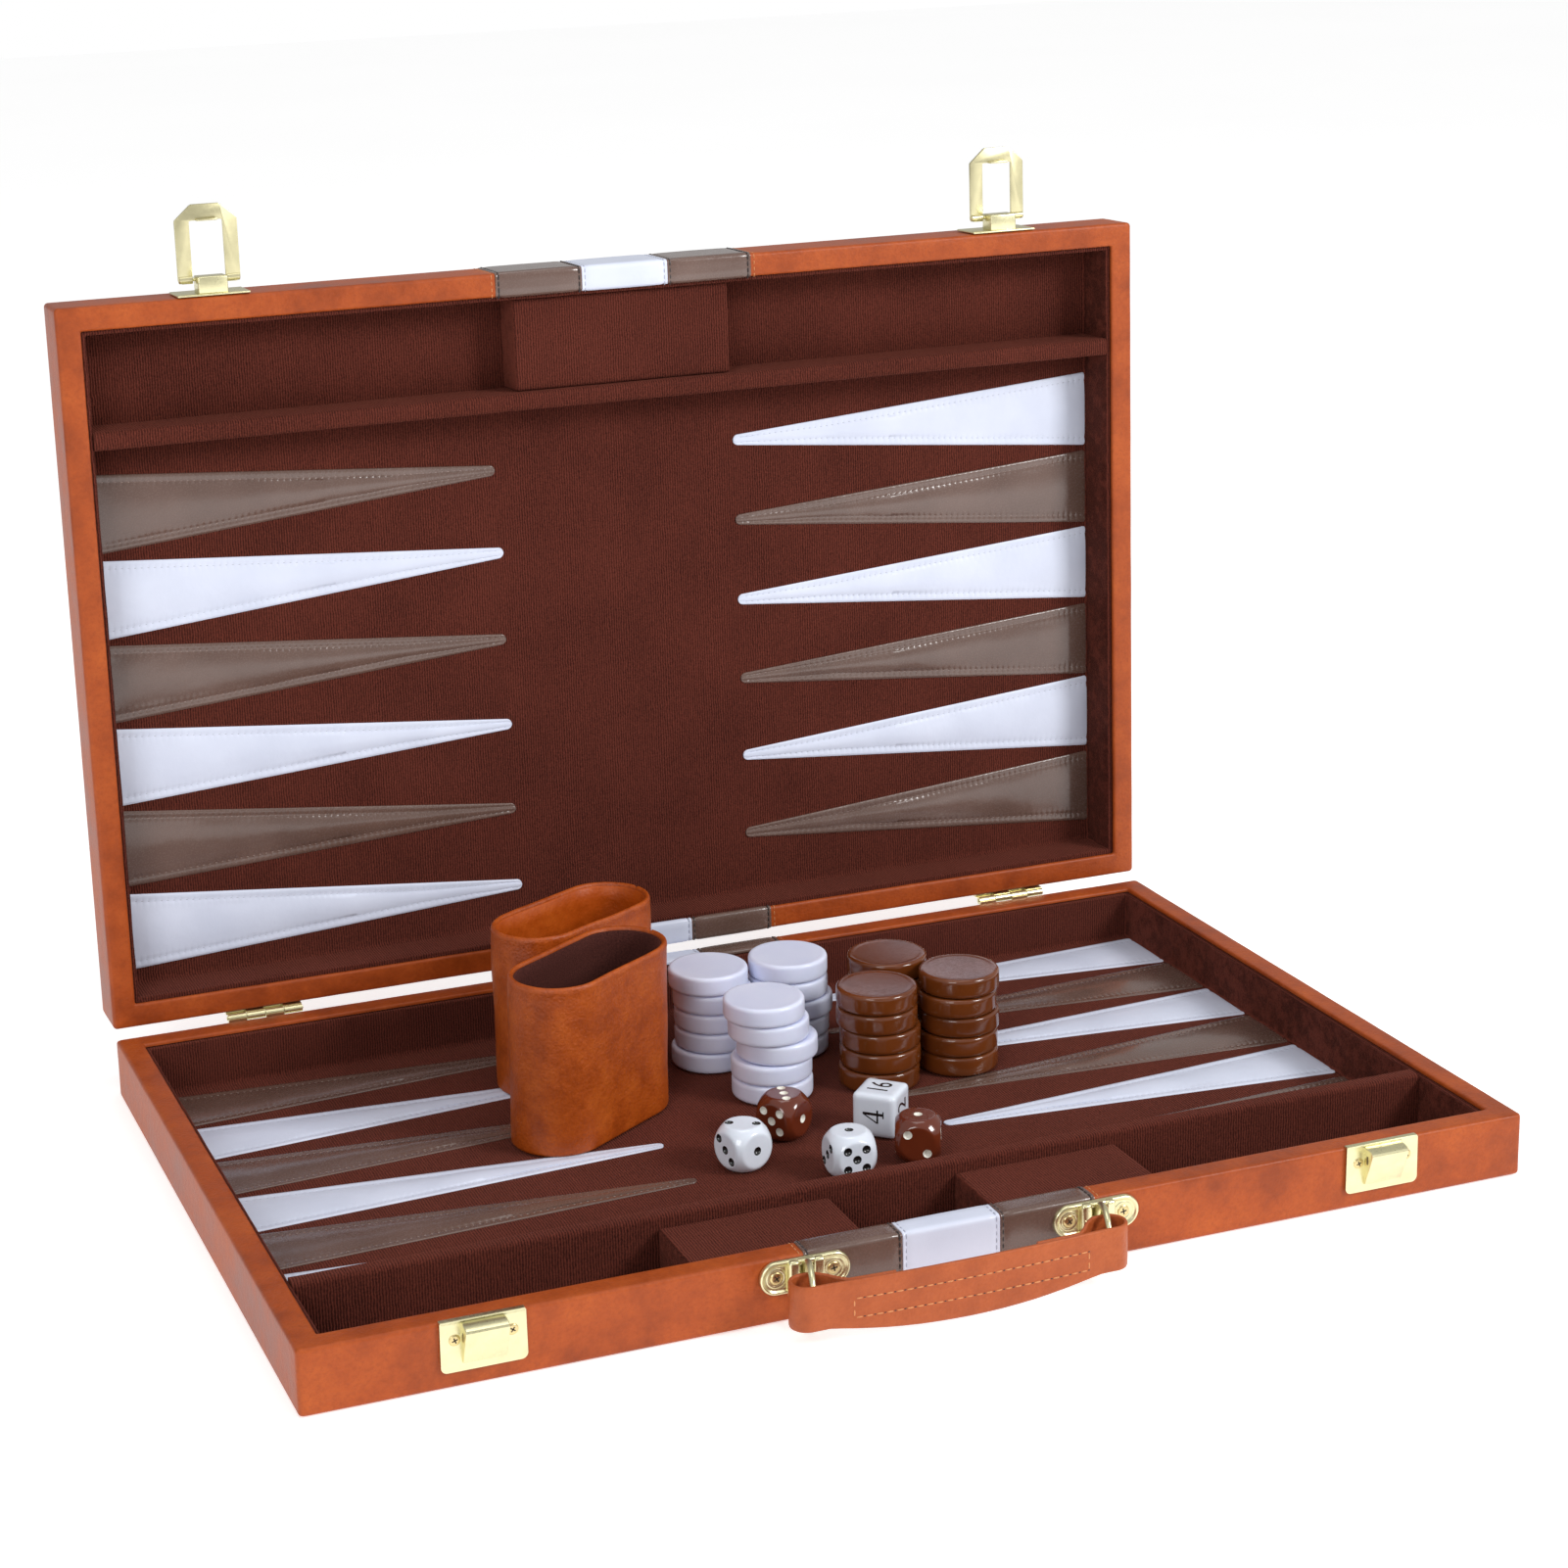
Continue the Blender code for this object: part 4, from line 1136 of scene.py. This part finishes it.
def strap_lower_edge(x):
    return -STRAP_TOP - 4.6 * (1.0 - min(1.0, abs(x) / 49.0) ** 2)


def strap_run():
    """The band's middle line from above: a tail, the right loop, the front, the left loop, a tail."""
    half = STRAP_THICK / 2
    right = [(x, strap_front(x) + STRAP_THICK * 1.5 + 0.12) for x in (26.0, 32.0, 38.0, 42.5)]
    right += [(45.5, -8.2), (48.5, -4.4), (52.0, -1.75)]
    right += arc((STRAP_END, -(LOOP_R + 0.8)), LOOP_R - half, 90.0, -90.0, 18)
    right += [(x, strap_front(x) + half) for x in (53.0, 50.0, 46.0, 41.0, 36.0)]
    right += [(x, strap_front(x) + half) for x in (30.0, 24.0, 18.0, 12.0, 6.0)]
    return right + [(0.0, strap_front(0.0) + half)] + [(-x, y) for x, y in reversed(right)]


def strap_band():
    """The band itself, folded round both rings."""
    run = [Vector((x, y, 0.0)) for x, y in strap_run()]
    section = STRAP_SECTION + tuple((-t, share) for t, share in STRAP_SECTION[-2::-1])
    rings = []
    for i, point in enumerate(run):
        along = (run[min(i + 1, len(run) - 1)] - run[max(i - 1, 0)]).normalized()
        outward = Vector((along.y, -along.x, 0.0))
        low = strap_lower_edge(point.x)
        ring = []
        for side, points in ((1, section), (-1, section[::-1])):
            for t, share in points:
                z = (low + STRAP_TOP) / 2 + t * (STRAP_TOP - low) / 2
                spread = STRAP_THICK / 2 * share + wobble((point.x, z, side), 9.0, 0.10, 4.0)
                place = point + outward * (side * spread)
                ring.append((place.x, place.y, z))
        rings.append(ring)
    return Shape().loft(rings)


def strap_stitches():
    """The box of stitches on the strap's front, and dark dashes of painted shade between them."""
    sewn, shade_dashes = Shape(), Shape()
    left, right = STRAP_SEAM_X
    steps = 40
    for z in STRAP_SEAM_Z:
        xs = [left + (right - left) * k / steps for k in range(steps + 1)]
        line = [Vector((x, strap_front(x) - 0.02, z)) for x in xs]
        stitch_line(sewn, line, [-Y] * len(line), 3.6, 2.6, 0.30)
        # Short dark dashes at half pitch: painted shade under the thread between the stitches.
        stitch_line(shade_dashes, line, [-Y] * len(line), 3.6, 1.0, 0.22, start=1.8)
    for x in STRAP_SEAM_X:
        line = [Vector((x, strap_front(x) - 0.02, z)) for z in STRAP_SEAM_Z]
        stitch_line(sewn, line, [-Y, -Y], 3.4, 2.6, 0.30)
    return sewn, shade_dashes


def add_strap():
    """The soft carrying strap: one band, folded round both rings and sewn along its middle."""
    centre = ring_centre()
    here = Matrix.Translation(Vector((0.0, centre.y, centre.z)) * MM)
    sewn, shade_dashes = strap_stitches()
    for name, shape, material, slot, replaced, sharp in (
        ("leather_strap", strap_band(), "strap", "leatherette", ["carry_strap"], 60.0),
        ("strap_stitches", sewn, "orange_thread", None, (), 80.0),
        # The dark thread material paints the shade between the stitches here.
        ("strap_stitch_shade", shade_dashes, "dark_thread", None, (), 80.0),
    ):
        made = Shape().merge(shape, at(STRAP_SHIFT, 0, 0))
        put_shape(name, made, material, "carry_strap", here, replaced, sharp)


# ---------------------------------------------------------------- dice cups


CUP_END_R = 18.4
CUP_HALF_STRAIGHT = 19.5
CUP_WALL = 2.2
CUP_SEAM_Y = -2.0
CUP_OUTSIDE = (
    # Inset from the outer wall, and height: up the outside, over the folded rim and down inside.
    (1.4, 0.0), (0.6, 0.15), (0.15, 0.6), (0.0, 1.4), *((0.0, 8.0 * k) for k in range(1, 8)),
    (0.05, 62.0), (0.12, 64.4), (0.0, 65.0), (0.05, 66.0), (0.35, 66.7), (0.85, 67.0), (1.4, 66.95),
    (1.9, 66.6), (2.15, 65.9), (CUP_WALL, 64.8), (CUP_WALL, 60.0), (CUP_WALL, 2.2),
)
CUP_INSIDE = (
    # The same for the separate inside, from its floor up to its edge and back down its wall side.
    (3.2, 3.1), (3.05, 3.6), (3.05, 20.0), (3.05, 40.0), (3.05, 60.0), (2.8, 65.1), (2.2, 65.7),
    (2.05, 64.5), (2.05, 2.4),
)
# Each cup's inside, turn in degrees, lean to the right per height, and seed.
CUPS = {"front": ("cup_felt", 33.0, 1.4 / 67.0, 61.0), "rear": ("cup_inner", 28.5, 0.0, 71.0)}


def leaned(shape, turn_deg, lean):
    """The cup's soft wall pushed a little to the right towards its mouth."""
    turn = math.radians(turn_deg)
    for vert in shape.verts:
        push = max(vert.z - 2.0, 0.0) * lean
        vert.x += push * math.cos(turn)
        vert.y -= push * math.sin(turn)
    return shape


def cup_wall(rows):
    """A wall of the cup's outline from rows of inset and height."""
    rings = [stadium_ring(CUP_HALF_STRAIGHT, CUP_END_R - inset, z, 52, 20) for inset, z in rows]
    return Shape().loft(rings)


def cup_seam(shell):
    """The butt seam at one end of the cup: a groove up the wall, and a notch in the rim."""
    for vert in shell.verts:
        near = 1 - abs(vert.y - CUP_SEAM_Y)
        if vert.x > CUP_HALF_STRAIGHT and near > 0 and vert.z > 1.0:
            vert.x -= 0.40 * near
            vert.z -= 0.9 * near if vert.z > 65.5 else 0.0


def add_cups():
    """Stitched leatherette cups: a folded rim, a butt seam at one end and a separate inside."""
    for which, (lining, turn_deg, lean, seed) in CUPS.items():
        body = f"{which}_dice_cup"
        low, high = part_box(body)
        here = at((low.x + high.x) / 2, (low.y + high.y) / 2, low.z) @ rotated(turn_deg)
        shell = cup_wall(CUP_OUTSIDE)
        cup_seam(shell)
        roughened(shell, 16.0, 0.45, seed, (1, 1, 0.5), lambda v: v.z > 3)
        shell = leaned(shell, turn_deg, lean)
        put_shape(f"{which}_cup_shell", shell, "cup", body, here, [body], 60.0)
        inside = roughened(cup_wall(CUP_INSIDE), 16.0, 0.35, seed, (1, 1, 0), lambda v: v.z > 5)
        inside = leaned(inside, turn_deg, lean)
        put_shape(f"{which}_cup_inside", inside, lining, body, here, (), 60.0)


# ---------------------------------------------------------------- checkers


CHECKER_PROFILE = (
    # Radius and height, from the underside round the edge to the dished top.
    (0.0, 0.0), (14.5, 0.0), (15.1, 0.1), (15.55, 0.4), (15.82, 0.85), (15.93, 1.5),
    (15.95, 2.4), (15.95, 5.6), (15.93, 6.4), (15.84, 6.95), (15.62, 7.4), (15.25, 7.7),
    (14.75, 7.83), (14.1, 7.85), (13.2, 7.76), (12.4, 7.72), (0.0, 7.72),
)


def add_checkers():
    """Turned checkers with soft edges and a faintly dished top."""
    for colour in ("white", "brown"):
        kind = f"{colour}_checker"
        data = revolve(CHECKER_PROFILE, 72).mesh(f"{kind}_disc")
        data.materials.append(MATS[kind])
        for number in range(1, 16):
            body = f"{kind}_{number:02d}"
            low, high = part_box(body)
            here = at((low.x + high.x) / 2, (low.y + high.y) / 2, low.z)
            here = here @ Matrix.Rotation(number * 1.7, 4, "Z")
            put(f"{kind}_disc_{number:02d}", data.copy(), body, here, [body], 45.0)


# ---------------------------------------------------------------- dice


SPOTS = {
    1: ((0, 0),),
    2: ((-1, 1), (1, -1)),
    3: ((-1, 1), (0, 0), (1, -1)),
    4: ((-1, 1), (1, -1), (-1, -1), (1, 1)),
    5: ((-1, 1), (1, -1), (-1, -1), (1, 1), (0, 0)),
    6: ((-1, 1), (1, -1), (-1, -1), (1, 1), (-1, 0), (1, 0)),
}
SPOT_SPACING = 3.6
BOWL_R = 1.78
BOWL_LIFT = 0.62
FACE_FRAMES = {
    # For each face: its outward normal, its own across and up directions.
    "top": (Z, X, Y),
    "bottom": (-Z, X, -Y),
    "front": (-Y, X, Z),
    "back": (Y, -X, Z),
    "left": (-X, -Y, Z),
    "right": (X, Y, Z),
}
OPPOSITE = {"top": "bottom", "front": "back", "left": "right", "right": "left"}
# Each die's turn in degrees, and the number on each visible face with whether its diagonal is
# flipped; opposite faces add to seven.
DICE = {
    "white_die_1": (16.6, {"top": (2, False), "left": (3, False), "front": (1, False)}),
    "white_die_2": (-3.4, {"top": (1, False), "front": (5, False), "left": (3, True)}),
    "brown_die_1": (33.6, {"top": (3, True), "left": (5, False), "front": (1, False)}),
    "brown_die_2": (-26.4, {"top": (1, False), "front": (2, False), "right": (3, False)}),
}
CUBE_TURN = -44.0
CUBE_NUMERALS = {"top": "16", "front": "4", "right": "32", "left": "2", "back": "8", "bottom": "64"}
INK = 0.12


def cube_grid(size, cuts):
    work = bmesh.new()
    bmesh.ops.create_cube(work, size=size)
    bmesh.ops.subdivide_edges(work, edges=work.edges[:], cuts=cuts, use_grid_fill=True)
    return work


def rounded_cube(half, radius):
    """A cube whose edges and corners are rounded, on a fine even grid."""
    work = cube_grid(2 * half, 14)
    core = half - radius
    for vert in work.verts:
        # Even spacing crowds the rounded margins, where the shape turns.
        warped = Vector([half * math.copysign(abs(c / half) ** 0.8, c) if c else 0.0 for c in vert.co])
        inner = Vector([max(-core, min(core, c)) for c in warped])
        away = warped - inner
        vert.co = inner + away.normalized() * radius if away.length > 1e-6 else warped
    return shape_from(work)


def tumbled_cube(half, sphere, blend=0.10):
    """A cube rounded off by a ball, which leaves a flat disc in the middle of each face."""
    work = cube_grid(2.0, 27)
    for vert in work.verts:
        aim = Vector([math.tan(c * math.pi / 4) for c in vert.co]).normalized()
        flat = half / max(abs(c) for c in aim)
        nearer, gap = min(flat, sphere), abs(flat - sphere)
        vert.co = aim * (nearer - blend * math.log1p(math.exp(-gap / blend)))
    return shape_from(work)


def ball(radius, rings=12, steps=24):
    angles = [math.pi * i / rings - math.pi / 2 for i in range(rings + 1)]
    return revolve([(radius * math.cos(a), radius * math.sin(a)) for a in angles], steps)


def spot_bowls(faces, half):
    """The balls that hollow a die's spots, on the visible faces and those opposite."""
    numbers = dict(faces)
    for face, (number, _) in faces.items():
        numbers.setdefault(OPPOSITE[face], (7 - number, False))
    bowl = ball(BOWL_R)
    spots = Shape()
    for face, (number, flip) in numbers.items():
        normal, across, up = FACE_FRAMES[face]
        for u, v in SPOTS[number]:
            spread = (across * (-u if flip else u) + up * v) * SPOT_SPACING
            spots.merge(bowl, Matrix.Translation(normal * (half + BOWL_LIFT) + spread))
    return spots


def add_dice():
    """Tumbled dice with painted, hollowed spots."""
    for name, (turn_deg, faces) in DICE.items():
        colour, paint = ("white", "black_paint") if name.startswith("white") else ("brown", "white_paint")
        low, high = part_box(name)
        half = (high.z - low.z) / MM / 2
        cutter = spot_bowls(faces, half).mesh("spots")
        cutter.materials.append(MATS[paint])
        block = tumbled_cube(half, half * 1.27).mesh("cube")
        block.materials.append(MATS[f"{colour}_die"])
        here = Matrix.Translation((low + high) / 2) @ rotated(turn_deg)
        data = carved(name + "_cube", block, cutter)
        put(name + "_cube", data, name, here, [name], 30.0)


def numeral_four():
    """An open four: a thick stem with a foot, a crossbar and a thin slanting stroke."""
    made = Shape()
    for left, bottom, right, top in (
        (0.55, -3.9, 1.85, 4.2), (-0.5, -4.2, 2.9, -3.7), (-3.2, -2.0, 3.3, -1.3),
    ):
        made.merge(bevelled_box((left, bottom, -INK), (right, top, INK), 0.04, 1))
    stroke = bevelled_box((-0.3, -3.5, -0.11), (0.3, 3.5, 0.11), 0.04, 1)
    return made.merge(stroke, at(-1.0, 1.3, 0.0) @ rotated(-36.0))


def numeral_shape(text):
    if text == "4":
        return numeral_four()
    curve = bpy.data.curves.new("numeral", "FONT")
    curve.body = text
    curve.size = 12.0
    curve.align_x = "CENTER"
    curve.align_y = "CENTER"
    curve.extrude = INK
    return shape_of(applied(new_object("numeral", curve), "numeral"), 1.0)


def add_doubling_cube():
    """The cube that keeps the stake: printed numerals, each turned a quarter turn."""
    name = "doubling_cube"
    low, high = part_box(name)
    half = (high.z - low.z) / MM / 2
    here = Matrix.Translation((low + high) / 2) @ rotated(CUBE_TURN)
    block = rounded_cube(half, 1.9)
    put_shape("doubling_cube_block", block, "white_die", name, here, [name], 30.0)
    printed = Shape()
    for face, text in CUBE_NUMERALS.items():
        normal, across, up = FACE_FRAMES[face]
        basis = Matrix((across, up, normal)).transposed().to_4x4()
        lie = Matrix.Translation(normal * (half - 0.06)) @ basis @ rotated(90.0)
        printed.merge(numeral_shape(text), lie @ Matrix.Diagonal((0.82, 1.0, 1.0, 1.0)))
    put_shape("doubling_cube_numerals", printed, "black_paint", name, here, (), 30.0)


# ---------------------------------------------------------------- stage, lights and camera


LIGHTS = (
    # Name, place, aim, size and watts.
    ("key", (1.25, -1.3, 1.15), (0.05, 0.0, 0.1), (0.6, 0.6), 25.0),
    ("fill", (-1.2, -1.3, 0.9), (0.0, 0.0, 0.1), (0.7, 0.7), 9.0),
    ("top", (0.0, -0.1, 1.7), (0.0, 0.0, 0.0), (1.0, 0.8), 5.0),
)
CAMERA_PLACE = (-0.42873, -1.04264, 0.49105)
CAMERA_YAW, CAMERA_PITCH, CAMERA_ROLL = 0.3490, -0.2658, -0.0300


def add_floor():
    mat, shader, coords = new_material("pale_floor", Roughness=0.9, Emission_Strength=0.5)
    shader.inputs["Emission Color"].default_value = (1.0, 1.0, 1.0, 1.0)
    clouds = noise_value(mat, coords, 2.0, 2.0)
    pale = ramp(mat, clouds, [(0.3, (0.93, 0.93, 0.93)), (0.7, (0.95, 0.95, 0.95))])
    link(mat, shader, Base_Color=pale)
    work = bmesh.new()
    bmesh.ops.create_grid(work, x_segments=2, y_segments=2, size=6.0)
    data = bpy.data.meshes.new("floor")
    work.to_mesh(data)
    work.free()
    data.materials.append(mat)
    floor = new_object("floor", data)
    floor.location.z = -0.0004


def add_lights():
    """An even white studio, brighter where it is seen than where it lights, and three soft lamps."""
    world = bpy.data.worlds.new("studio")
    bpy.context.scene.world = world
    world.use_nodes = True
    background = world.node_tree.nodes["Background"]
    background.inputs["Color"].default_value = (1.0, 1.0, 1.0, 1.0)
    seen = node(world, "ShaderNodeLightPath").outputs["Is Camera Ray"]
    strength = node(world, "ShaderNodeMath", {0: seen, 1: 0.5, 2: 0.5}, operation="MULTIPLY_ADD")
    world.node_tree.links.new(strength.outputs[0], background.inputs["Strength"])
    for name, place, aim, size, watts in LIGHTS:
        data = bpy.data.lights.new(name, "AREA")
        data.shape = "RECTANGLE"
        data.size, data.size_y = size
        data.energy = watts
        lamp = new_object(name, data)
        lamp.location = place
        lamp.rotation_euler = (Vector(aim) - Vector(place)).to_track_quat("-Z", "Y").to_euler()


def add_camera():
    data = bpy.data.cameras.new("camera")
    data.sensor_width = 36.0
    data.lens = 73.12
    data.shift_x = 0.0836
    data.shift_y = -0.0724
    data.clip_start = 0.05
    data.clip_end = 20.0
    level_way = Vector((math.sin(CAMERA_YAW), math.cos(CAMERA_YAW), 0.0))
    forward = level_way * math.cos(CAMERA_PITCH) + Z * math.sin(CAMERA_PITCH)
    level = Vector((math.cos(CAMERA_YAW), -math.sin(CAMERA_YAW), 0.0))
    upright = level.cross(forward)
    right = level * math.cos(CAMERA_ROLL) + upright * math.sin(CAMERA_ROLL)
    up = upright * math.cos(CAMERA_ROLL) - level * math.sin(CAMERA_ROLL)
    basis = Matrix((right, up, -forward)).transposed().to_4x4()
    camera = new_object("camera", data)
    camera.matrix_world = Matrix.Translation(CAMERA_PLACE) @ basis
    bpy.context.scene.camera = camera


def main():
    for tray in TRAYS:
        add_shell(tray)
        add_lining(tray)
        add_divider(tray)
    add_blocks()
    add_points()
    add_stripes()
    add_catches()
    add_hasp_plates()
    add_hasps()
    add_brackets()
    add_rings()
    add_hinges()
    add_strap()
    add_cups()
    add_checkers()
    add_dice()
    add_doubling_cube()
    add_floor()
    add_lights()
    add_camera()
    bpy.context.scene.view_settings.view_transform = "Standard"


main()
